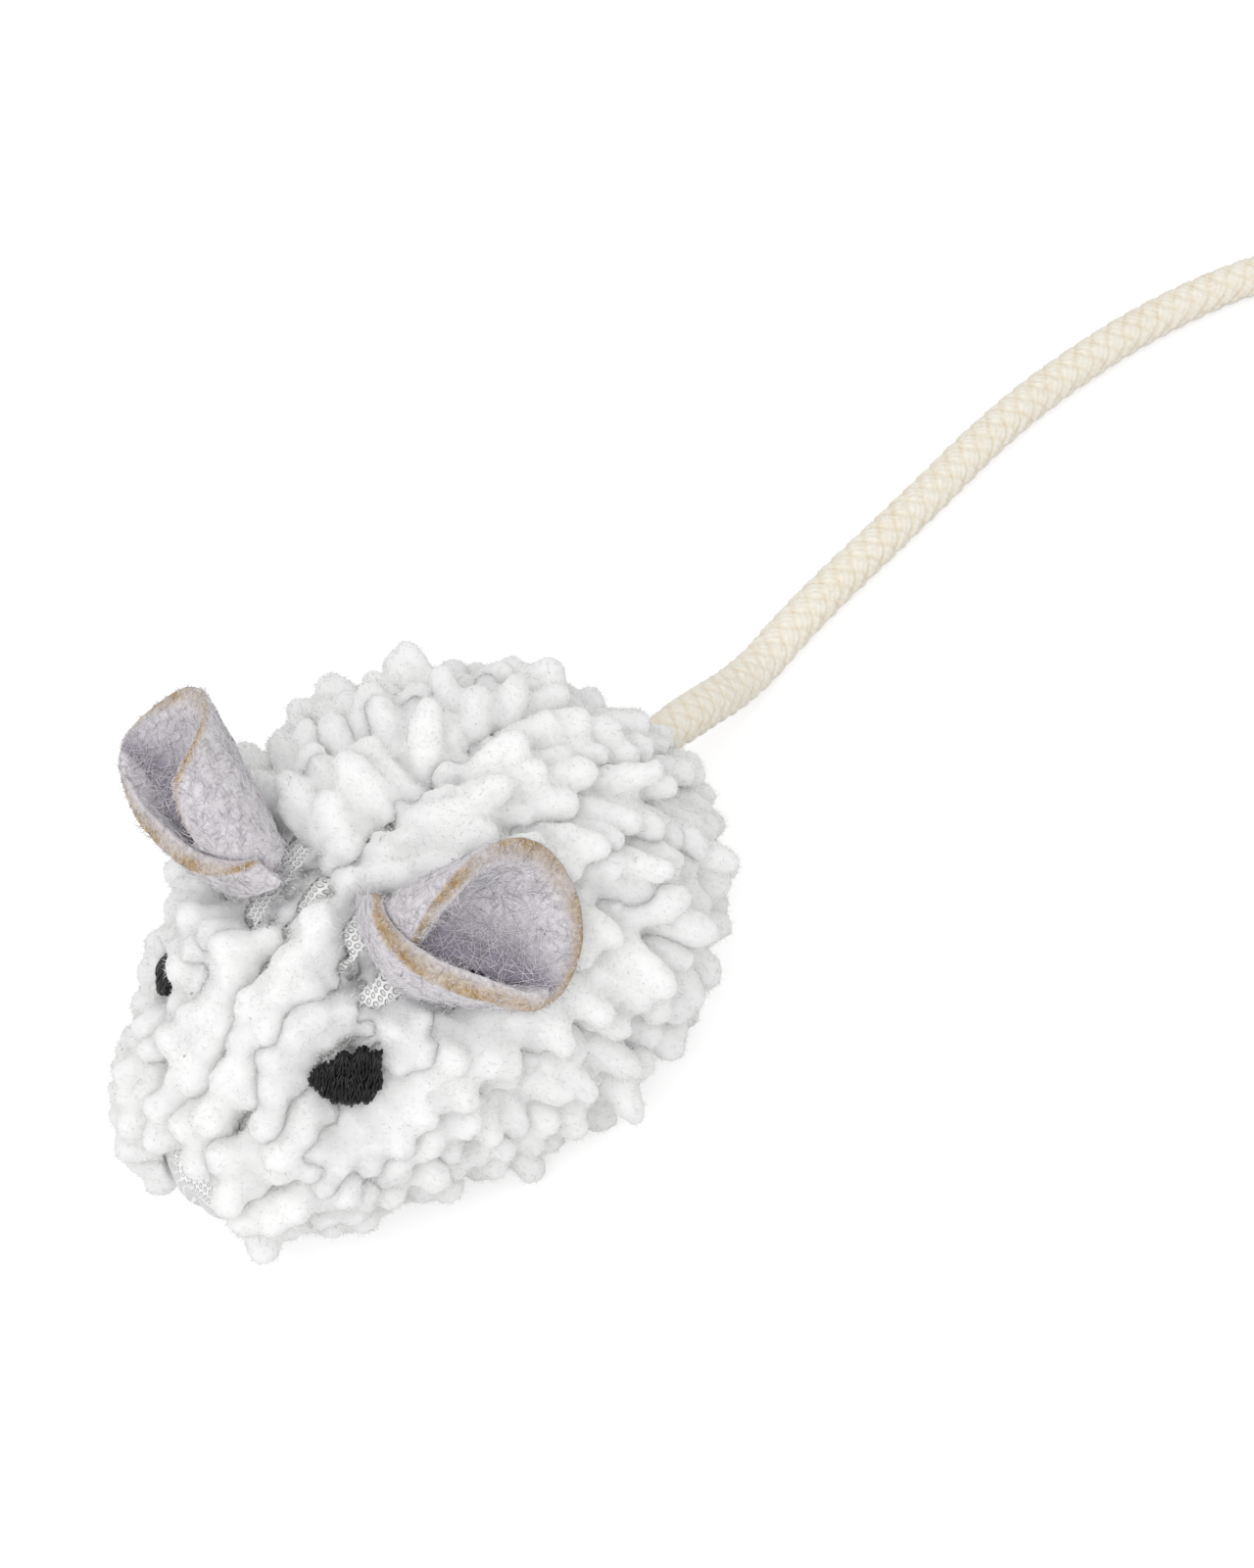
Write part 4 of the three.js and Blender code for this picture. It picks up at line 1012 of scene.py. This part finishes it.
def felt_material():
    look = Finish("grey_felt")
    matted = look.grain(
        Scale=700.0, Detail=5.0, Roughness=0.7, Distortion=1.5, Strength=0.8, Distance=0.00025
    )
    patches = look.grain(Scale=180.0, Detail=3.0)
    strands = look.add(
        "ShaderNodeTexWave", Vector=look.place(), Scale=320.0, Distortion=18.0, Detail=4.0, Detail_Scale=2.5
    )
    dark, grey, light = (0.48, 0.455, 0.485), (0.65, 0.622, 0.652), (0.77, 0.743, 0.772)
    wool = look.colours(matted["Amount"], (0.3, dark), (0.5, grey), (0.72, light))
    threads = look.colours(strands.outputs["Fac"], (0.72, (0, 0, 0)), (0.95, (0.32, 0.31, 0.33)))
    wool = look.mix("SCREEN", 0.7, wool, threads)
    wool = look.mix("MIX", look.mark("pale"), wool, (0.96, 0.94, 0.98, 1))
    burnt, brown, tan = (0.22, 0.135, 0.06), (0.4, 0.275, 0.14), (0.6, 0.49, 0.34)
    singe = look.colours(matted["Amount"], (0.3, burnt), (0.48, brown), (0.68, tan))
    ragged = look.reckon("MULTIPLY_ADD", patches["Amount"], 2.6, -0.45)
    rim = look.reckon("MULTIPLY", look.mark("rim"), ragged, clamp=True)
    # The fold mark multiplies in a dark purple-grey: painted shade in the crease and on the sole, and the own
    # darker colour of the dark hairs.
    colour = look.mix("MULTIPLY", look.mark("fold"), look.mix("MIX", rim, wool, singe), (0.3, 0.27, 0.34, 1))
    return look.done(
        Base_Color=colour, Normal=matted["Normal"], Roughness=0.95, Sheen_Weight=0.3, Sheen_Roughness=0.5
    )


felt = felt_material()


def ear_point(side, height, roll, outward_by, crease=-1.0):
    """A point of the felt at a height, a roll angle in degrees and a depth in the wall.

    Below the front flap's rim the back of the roll comes forward to it, and closes it in a crease."""
    base, pointing, opening, seam = ear_axes(side)
    foot = unit(read_grid(outward, step_at(base[1]), 0.21)) * (side, 1, 1)
    half_width, half_depth, forward = ear_loop(side, height, np.radians(roll))
    wound = outward_by - roll / 360 * (felt_thickness + seam_gap)
    facing = np.cos(np.radians(roll))
    inside = (np.abs(roll) < crease_reach) * np.clip(-outward_by / felt_wall * 2, 0, 1)
    closed = inside * (1 - smoothstep(height, crease - 0.001, crease + 0.008))
    front_depth = ear_loop(side, height, math.pi)[1] - 0.0003
    depth = -facing * (half_depth + wound) * (1 - closed) + np.abs(facing) * front_depth * closed + forward
    width = np.sin(np.radians(roll)) * (half_width + wound) * side
    up = np.where(height[..., None] > 0, pointing, foot) * height[..., None]
    return base + up + opening * depth[..., None] + seam * width[..., None]


def clearance(points):
    """Height of points above the skin of the body."""
    heights = []
    for point in points:
        hit, normal, _, _ = cover_tree.find_nearest(Vector(point))
        heights.append((Vector(point) - hit).dot(normal))
    return np.array(heights)


def felt_sole(side):
    """The tucked-in felt at the bottom of the roll, which lies along the body."""
    around, rings = 30, 9
    count = around * rings
    roll = np.tile(np.arange(-180, 180, 360 / around), rings)
    reach = np.repeat(np.linspace(0.02, 1, rings), around)
    base, pointing, _, _ = ear_axes(side)
    height = np.zeros(count)
    for _ in range(settling_rounds):
        ring = ear_point(side, height, roll, np.zeros(count))
        middle = base + np.where(height[:, None] > 0, pointing, 0) * height[:, None]
        places = middle + (ring - middle) * reach[:, None]
        height = height - (clearance(places) - rest_height - sole_above_skin)
    low = places - pointing * sole_thickness
    faces = []
    for start, turned in ((0, False), (count, True)):
        for row in range(start, start + count - around, around):
            for k in range(around):
                a, b = row + k, row + (k + 1) % around
                face = (a, b, b + around, a + around)
                faces.append(face[::-1] if turned else face)
        faces.append(tuple(range(start, start + around))[:: 1 if turned else -1])
    edge = count - around
    for k in range(around):
        n = (k + 1) % around
        faces.append((edge + k, edge + n, count + edge + n, count + edge + k))
    return np.vstack([places, low]), faces


def felt_foot(side, roll, rim):
    """Where the roll begins all along, clear of the body, and where its inner face would touch the body."""
    base, _, opening, _ = ear_axes(side)
    wall = np.full(len(roll), half_wall)
    foot, ground = np.zeros(len(roll)), np.zeros(len(roll))
    for _ in range(settling_rounds):
        inner, outer = ear_point(side, foot, roll, -wall), ear_point(side, foot, roll, wall)
        depth = np.array([inner - base, outer - base]) @ opening
        need = rest_height + 0.0003 + np.where(depth > 0, depth * 0.15, -depth * 0.1)
        spare = np.minimum(clearance(inner) - need[0], clearance(outer) - need[1])
        foot = np.minimum(foot - spare, rim - 0.0015)
        below = ear_point(side, ground, roll, -wall)
        ground = np.clip(ground - clearance(below) + rest_height, -0.004, 0.012)
    return foot, ground


def crease_along(roll, rim, ground):
    """How high the roll is closed by the crease behind its front flap, and below zero elsewhere."""
    front = -180 - roll
    behind_flap = np.interp(front, roll, rim) - crease_below_rim
    crease = np.maximum(behind_flap, np.interp(front, roll, ground) + 0.001)
    crease = np.convolve(np.pad(crease, 6, mode="edge"), np.full(13, 1 / 13), mode="valid")
    return np.where(np.abs(roll) < crease_reach, crease, -1.0)[:, None]


def turn_faces_out(piece):
    shape = bmesh.new()
    shape.from_mesh(piece.data)
    bmesh.ops.recalc_face_normals(shape, faces=shape.faces)
    shape.to_mesh(piece.data)
    shape.free()


def felt_ear(side, name, node, body):
    columns, up_rows = 150, 26
    base, pointing, _, _ = ear_axes(side)
    roll = roll_start + roll_turn * np.linspace(0, 1, columns)
    shares = smooth_rows(rim_shares[side][:, None], np.linspace(0, 11, columns))[:, 0]
    rim = np.maximum(shares, 0.02) * ear_length
    foot, ground = felt_foot(side, roll, rim)
    inside = foot[:, None] + (rim - rim_round - foot)[:, None] * np.linspace(0, 1, up_rows) ** 0.85
    heights = np.concatenate([inside, rim[:, None] + rim_turn[:, 1], inside[:, ::-1]], axis=1)
    depths = np.concatenate([np.full(up_rows, -half_wall), rim_turn[:, 0], np.full(up_rows, half_wall)])
    depths = np.broadcast_to(depths, heights.shape)
    level = np.clip((heights - foot[:, None]) / np.maximum(rim - foot, 0.001)[:, None], 0, 1)
    heights = heights + cut_slope * np.cos(np.radians(roll))[:, None] * depths * level**6
    crease = crease_along(roll, rim, ground)
    points = ear_point(side, heights, np.broadcast_to(roll[:, None], heights.shape), depths, crease)
    # Painted shade: the inner face darkens towards the crease behind the front flap, fully up to about 4 mm
    # above it and fading over the next 2 mm.
    fold = np.exp(-np.maximum(heights - crease - 0.0038, 0) / 0.0022) * (depths < 0) * (crease > 0) * 0.9
    to_rim = (1 - level) * (rim - foot)[:, None] * 1000
    singed = np.exp(-((to_rim / 0.7) ** 2)) * np.clip(0.62 + depths / felt_wall * 1.5, 0.05, 1)
    count = heights.shape[1]
    faces = []
    for c in range(columns - 1):
        for r in range(count):
            a, b = c * count + r, c * count + (r + 1) % count
            faces.append((a, b, b + count, a + count))
    faces.append(tuple(range(count - 1, -1, -1)))
    faces.append(tuple((columns - 1) * count + r for r in range(count)))
    sole_points, sole_faces = felt_sole(side)
    of_sole = np.zeros(len(sole_points))
    points, faces = gather([(points.reshape(-1, 3), faces), (sole_points, sole_faces)])
    singed = np.concatenate([singed.ravel(), of_sole])
    # Painted shade on the tucked-in sole at the bottom of the roll.
    fold = np.concatenate([fold.ravel(), of_sole + 0.65])
    ear = add_piece(name, points, faces, felt, body)
    turn_faces_out(ear)
    displace(ear, 0.0003, lumps)
    displace(ear, 0.00022, curls)
    points, triangles = mesh_arrays(ear)
    chance = np.random.default_rng(30 + side)
    room = np.where(depths > 0, np.minimum(to_rim / 1000, hair_room_outside), to_rim / 1000)
    room = np.concatenate([room.ravel(), of_sole]) + hair_past_rim
    hairs, sides, tones = lying_fibres(points, triangles, room, chance, base, unit(pointing))
    is_dark = chance.random(len(hairs) // corners_of_hair) < dark_hair_share
    # Dark hairs carry their own darker colour in the fold mark, which elsewhere holds painted shade.
    dark = np.repeat(np.where(is_dark, 0.35, 0), corners_of_hair)
    marks = {
        "rim": np.concatenate([singed, np.zeros(len(hairs))]),
        "pale": np.concatenate([np.zeros(len(points)), np.where(dark > 0, 0, tones)]),
        "fold": np.concatenate([fold, dark]),
    }
    add_fibres(ear, points, hairs, sides, marks)
    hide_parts(node)


def lying_fibres(points, triangles, room, chance, centre, axis):
    """Fine curved hairs on felt rolled round an axis, no longer than their room, and how pale each is."""
    chosen, normal, a, b, c = scattered(points, triangles, chance, hairs_per_square_mm)
    count = len(chosen)
    foot = (a + b + c) / 3
    way = unit(np.cross(normal, chance.normal(size=(count, 3))))
    beside = np.cross(normal, way)
    reach = np.minimum(chance.uniform(*hair_length, count), room[triangles[chosen, 0]])[:, None]
    curl = chance.normal(0, 0.3, (count, 1))
    lift = chance.uniform(0.00002, 0.0002, (count, 1))
    away = foot - centre
    away = away - axis * (away @ axis)[:, None]
    from_axis = np.linalg.norm(away, axis=1, keepdims=True)
    bulge = np.sum(away * normal, axis=1, keepdims=True) / from_axis
    bulge = bulge * (1 - (way @ axis)[:, None] ** 2) / np.maximum(from_axis, 0.005) / 2
    line = [foot - normal * 0.00005]
    for share in (0.35, 0.7, 1.0):
        rise = lift * (1.6 * share - share**2) * 2 - bulge * (reach * share) ** 2
        line.append(foot + way * reach * share + beside * reach * curl * share**2 + normal * rise)
    line = np.stack(line, axis=1)
    size = np.array([1, 0.95, 0.8, 0.3])[None, :, None] * hair_radius
    turns = [normal[:, None] * math.cos(k) + beside[:, None] * math.sin(k) for k in three_ways]
    hairs = np.stack([line + size * turn for turn in turns], axis=2).reshape(-1, 3)
    sides = []
    for ring in (0, 3, 6):
        for k in range(3):
            n = (k + 1) % 3
            sides += [[ring + k, ring + n, ring + 3 + n], [ring + k, ring + 3 + n, ring + 3 + k]]
    sides = repeated(np.array(sides + [[0, 2, 1], [9, 10, 11]]), corners_of_hair, count)
    return hairs, sides, np.repeat(chance.uniform(0.1, 0.9, count), corners_of_hair)


felt_ear(1, "felt_ear_left", "ear_left", "left_ear")
felt_ear(-1, "felt_ear_right", "ear_right", "right_ear")

# Eyes: a patch of shiny black thread on each cheek, sewn to and fro in stitches of different length,
# so that its outline is ragged. The outline is given across and up the cheek, in millimetres.
thread_radius = 0.00016
eye_reach, shortest_stitch, cheek_curve = 0.0052, 0.0006, 9.0
stitch_end_spread, stitch_place_spread, stitch_arch = (-0.0002, 0.0004), 0.00008, 0.0005
stitch_layers = ((1.9, 0.00026, 0.0), (1.15, 0.00018, 0.00028), (1.45, 0.00024, 0.00056))
eye_outline = 0.001 * np.array(
    [
        [-4.8, 0.7], [-3.3, 1.7], [-1.6, 2.1], [-0.9, 3.2], [0, 3.3], [0.4, 2.6], [2, 3.9], [2.9, 3.1],
        [4.4, 3], [4.2, 1.7], [4.3, -0.6], [4.2, -1.6], [3.2, -2], [2.8, -3.4], [0.9, -3.2], [0.6, -3.7],
        [-0.4, -3.3], [-1.9, -3], [-2.4, -2.6], [-3.5, -1.8], [-4.8, -0.3],
    ]
)


def thread_material():
    look = Finish("black_thread")
    twist = look.grain(Scale=2200.0, Detail=3.0, Strength=0.5, Distance=0.00006)
    colour = look.colours(twist["Amount"], (0.35, (0.003, 0.003, 0.0035)), (0.7, (0.014, 0.014, 0.016)))
    return look.done(Base_Color=colour, Normal=twist["Normal"], Roughness=0.28, Specular_IOR_Level=0.3)


thread = thread_material()
eye_right = unit(np.cross([0.423, -0.551, 0.719], [0, 0, 1]) * -1)
eye_right = unit(eye_right - eye_normal * np.dot(eye_right, eye_normal))
eye_up = np.cross(eye_normal, eye_right)


def outline_span(way, over, place):
    """Where a line at a place across the outline enters and leaves it."""
    crossings = []
    for a, b in zip(eye_outline, np.roll(eye_outline, -1, axis=0)):
        a_side, b_side = a @ over - place, b @ over - place
        if a_side * b_side < 0:
            crossings.append((a + (b - a) * a_side / (a_side - b_side)) @ way)
    return (min(crossings), max(crossings)) if crossings else None


def stitched_eye(side, name, node):
    chance = np.random.default_rng(12)
    parts = []
    for tilt, spacing, rise in stitch_layers:
        for place in np.arange(-eye_reach, eye_reach, spacing):
            angle = tilt + chance.normal(0, 0.2)
            way = np.array([math.cos(angle), math.sin(angle)])
            over = np.array([-math.sin(angle), math.cos(angle)])
            span = outline_span(way, over, place)
            if span is None or span[1] - span[0] < shortest_stitch:
                continue
            cut = span[0] + (span[1] - span[0]) * chance.uniform(0.3, 0.7)
            for start, end in ((span[0], cut), (cut, span[1])):
                start = start - chance.uniform(*stitch_end_spread)
                end = end + chance.uniform(*stitch_end_spread)
                share = np.linspace(0, 1, 8)
                flat = way * (start + (end - start) * share)[:, None]
                flat = flat + over * (place + chance.normal(0, stitch_place_spread))
                arch = stitch_arch * (1 - (2 * share - 1) ** 4) + rise * 0.8
                arch = arch + 0.00014 * chance.random() - 0.0002
                sag = (flat**2).sum(axis=1) * cheek_curve
                line = eye_middle + eye_right * flat[:, :1] + eye_up * flat[:, 1:]
                line = line + eye_normal * (arch - sag)[:, None]
                parts.append(tube(line * (side, 1, 1), eye_normal * (side, 1, 1), thread_radius, 5))
    points, faces = gather(parts)
    eye = add_piece(name, points, faces, thread, "body")
    turn_faces_out(eye)
    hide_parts(node)


stitched_eye(1, "stitched_eye_left", "eye_left")
stitched_eye(-1, "stitched_eye_right", "eye_right")

# End knot and the knot inside the rump: the rope runs through and is wound round itself, about two and
# a half times at the end and one and a half inside. The free end is left as a short frayed tuft.
wrap_scale, through_scale = 0.66, 0.93
wrap_inset = 0.0021
end_knot_length, end_wrap_radius, end_turns = 0.015, 0.0048, 2.6
anchor_length, anchor_wrap_radius, anchor_turns = 0.011, 0.0042, 1.6
tuft_yarns, tuft_radius, tuft_reach, tuft_yarn_radius = 70, 0.0026, (0.0065, 0.009), 0.00032


def knot_parts(start, heading, length, wrap_radius, turns):
    """The rope straight through a knot, and its wraps."""
    across = unit(np.cross(heading, [0, 0, 1.0]))
    above = np.cross(across, heading)
    through = start + heading * np.linspace(0.0004, length - 0.0002, 24)[:, None]
    share = np.linspace(0, 1, 150)
    along = wrap_inset + (length - 2 * wrap_inset) * np.clip(share * 1.12 - 0.06, 0, 1)
    angle = share * turns * 2 * math.pi
    ends = np.clip(np.minimum(share, 1 - share) / 0.07, 0, 1)
    out = wrap_radius * (0.62 + 0.38 * ends)
    wound = start + heading * along[:, None]
    wound = wound + across * (out * np.cos(angle))[:, None] + above * (out * np.sin(angle))[:, None]
    parts, depths = [], []
    for line, scale in ((through, through_scale), (wound, wrap_scale)):
        points, faces, depth = braided(line, scale)
        parts.append((points, faces))
        depths.append(depth)
    return parts, depths, across, above


def rope_piece(name, parts, depths, body, node):
    points, faces = gather(parts)
    piece = add_piece(name, points, faces, cotton, body, {"depth": np.concatenate(depths)})
    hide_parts(node)
    return piece


heading = unit(np.array([3.9, 6.5, 0]))
end_start = tail_route[-1] + heading * seam_gap
parts, depths, across, above = knot_parts(end_start, heading, end_knot_length, end_wrap_radius, end_turns)
chance = np.random.default_rng(5)
tuft_start = end_knot_length - 0.0004
for _ in range(tuft_yarns):
    angle, out = chance.uniform(0, 2 * math.pi), tuft_radius * math.sqrt(chance.random())
    side_way = across * math.cos(angle) + above * math.sin(angle)
    reach = chance.uniform(*tuft_reach)
    share = np.linspace(0, 1, 7)[:, None]
    line = end_start + heading * (tuft_start + reach * share) + side_way * out * (1 + 0.75 * share**1.5)
    line = line + np.cross(heading, side_way) * chance.normal(0, 0.0005) * share**2
    points, faces = tube(line, side_way, tuft_yarn_radius, 5)
    parts.append((points, faces))
    depths.append(np.full(len(points), 0.8))
end_knot = rope_piece("frayed_end_knot", parts, depths, "tail", "tail_end_knot")

inside_rump = np.array([0, 0.04298, tail_exit[2]])
parts, depths, _, _ = knot_parts(
    inside_rump, np.array([0, -1.0, 0]), anchor_length, anchor_wrap_radius, anchor_turns
)
rope_piece("anchor_knot", parts, depths, "body", "tail_anchor_knot")

# Inside the cover: a front and a rear wad of loose fibre, and between them a little pouch of cotton
# cloth in two halves with the crushed leaf in it.


def inside_material(name, scale, depth, *steps):
    look = Finish(name)
    tufts = look.grain(Scale=scale, Detail=4.0, Roughness=0.65, Strength=0.7, Distance=depth)
    return look.done(Base_Color=look.colours(tufts["Amount"], *steps), Normal=tufts["Normal"], Roughness=0.95)


def woven_material():
    look = Finish("unbleached_cloth")
    yarns = [
        look.add("ShaderNodeTexWave", Vector=look.place(), Scale=420.0, Distortion=0.4, bands_direction=way)
        for way in ("X", "Y")
    ]
    over = look.reckon("MAXIMUM", *(yarn.outputs["Fac"] for yarn in yarns))
    colour = look.colours(over, (0.2, (0.5, 0.45, 0.36)), (0.8, (0.7, 0.66, 0.57)))
    bump = look.add("ShaderNodeBump", Strength=0.6, Distance=0.0001, Height=over)
    return look.done(Base_Color=colour, Normal=bump.outputs["Normal"], Roughness=0.9)


def soft_copy(name, node, material, voxel, wrinkle):
    """A finer, softer piece in the form of a CAD solid."""
    points, triangles = merged([node])
    piece = add_piece(name, points, triangles.tolist(), material, "body")
    soften(piece, voxel, 2)
    displace(piece, wrinkle, lumps, 0.9)
    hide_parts(node)
    return piece


fill = inside_material("loose_fibre", 900.0, 0.0003, (0.3, (0.8, 0.8, 0.78)), (0.7, (0.9, 0.9, 0.885)))
dark_leaf, green_leaf, dry_leaf = (0.07, 0.08, 0.025), (0.17, 0.19, 0.07), (0.32, 0.31, 0.15)
leaf = inside_material("crushed_leaf", 1400.0, 0.0004, (0.3, dark_leaf), (0.5, green_leaf), (0.7, dry_leaf))
for name, node in (("front_wad", "filling_front"), ("rear_wad", "filling_rear")):
    wad = soft_copy(name, node, fill, 0.0011, 0.0008)
cloth = woven_material()
for name, node in (("pouch_top", "pouch_upper"), ("pouch_bottom", "pouch_lower")):
    half = soft_copy(name, node, cloth, 0.00036, 0.00012)
herb = soft_copy("crushed_catnip", "catnip", leaf, 0.0005, 0.0006)
points, triangles = mesh_arrays(herb)
leaf_flakes = {"per_square_mm": 0.9, "length": (0.0005, 0.0012), "radius": 0.0003, "rise": (0.0, 0.15)}
flakes, sides = fibres(points, triangles, np.random.default_rng(9), **leaf_flakes)
flakes = flakes - unit(flakes - points.mean(axis=0)) * 0.0004
add_fibres(herb, points, flakes, sides, smooth=False)

# Studio: a wide white floor and sky that glow where they are looked at, a soft main light with a weaker
# one near the camera, and a camera that looks down on the mouse's left side from in front.


def looked_at(tree):
    """One where a ray from the camera, a mirror or glass arrives, or else zero."""
    path = tree.nodes.new("ShaderNodeLightPath")
    most = path.outputs["Is Camera Ray"]
    for kind in ("Is Glossy Ray", "Is Transmission Ray"):
        more = tree.nodes.new("ShaderNodeMath")
        more.operation = "MAXIMUM"
        tree.links.new(most, more.inputs[0])
        tree.links.new(path.outputs[kind], more.inputs[1])
        most = more.outputs[0]
    return most


bpy.ops.mesh.primitive_plane_add(size=60, location=(0, 0, 0))
floor = bpy.context.active_object
floor.name = "floor"
floor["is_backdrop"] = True
bpy.ops.object.select_all(action="DESELECT")
paper = Finish("white_paper")
white = (1, 1, 1, 1)
lit = paper.add("ShaderNodeBsdfDiffuse", Color=white)
glow = paper.add("ShaderNodeEmission", Color=white, Strength=1.26)
dimmer = paper.add("ShaderNodeBsdfDiffuse", Color=(0.72, 0.72, 0.72, 1))


def blended(share, first, second):
    node = paper.add("ShaderNodeMixShader", Fac=share)
    paper.join(first.outputs[0], node.inputs[1])
    paper.join(second.outputs[0], node.inputs[2])
    return node


seen = blended(looked_at(paper.tree), dimmer, blended(0.5, lit, glow))
paper.join(seen.outputs[0], paper.tree.nodes["Material Output"].inputs["Surface"])
floor.data.materials.append(paper.material)

world = bpy.data.worlds.new("studio")
world.use_nodes = True
bpy.context.scene.world = world
sky = world.node_tree.nodes["Background"]
bright = world.node_tree.nodes.new("ShaderNodeMapRange")
bright.inputs["To Min"].default_value = 0.76
bright.inputs["To Max"].default_value = 1.0
world.node_tree.links.new(looked_at(world.node_tree), bright.inputs["Value"])
world.node_tree.links.new(bright.outputs["Result"], sky.inputs["Strength"])
sky.inputs["Color"].default_value = white

for name, place, size, power in (
    ("key", (0.2, -0.6, 0.7), 0.45, 2.7),
    ("fill", (0.62, -0.42, 0.62), 0.45, 0.9),
):
    lamp = bpy.data.lights.new(name, "AREA")
    lamp.size = size
    lamp.energy = power
    holder = bpy.data.objects.new(name, lamp)
    holder.location = place
    holder.rotation_euler = (-Vector(place)).to_track_quat("-Z", "Y").to_euler()
    bpy.context.scene.collection.objects.link(holder)

azimuth, elevation, distance = math.radians(37.5), math.radians(46), 0.45
target, shift_right, shift_up = Vector((0, 0, 0.026)), 0.0286, 0.01995
back = Vector(
    (
        math.sin(azimuth) * math.cos(elevation),
        -math.cos(azimuth) * math.cos(elevation),
        math.sin(elevation),
    )
)
right = Vector((math.cos(azimuth), math.sin(azimuth), 0))
upright = back.cross(right)
camera = bpy.data.objects.new("camera", bpy.data.cameras.new("camera"))
camera.data.sensor_width = 36
camera.data.lens = 76.1
camera.data.clip_start = 0.01
camera.rotation_mode = "QUATERNION"
camera.rotation_quaternion = (-back).to_track_quat("-Z", "Y")
camera.location = target + back * distance + right * shift_right + upright * shift_up
bpy.context.scene.collection.objects.link(camera)
bpy.context.scene.camera = camera
bpy.context.scene.view_settings.view_transform = "Standard"

size = {"cad": [list(corner) for corner in cad_box], "visual": [list(corner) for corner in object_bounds()]}
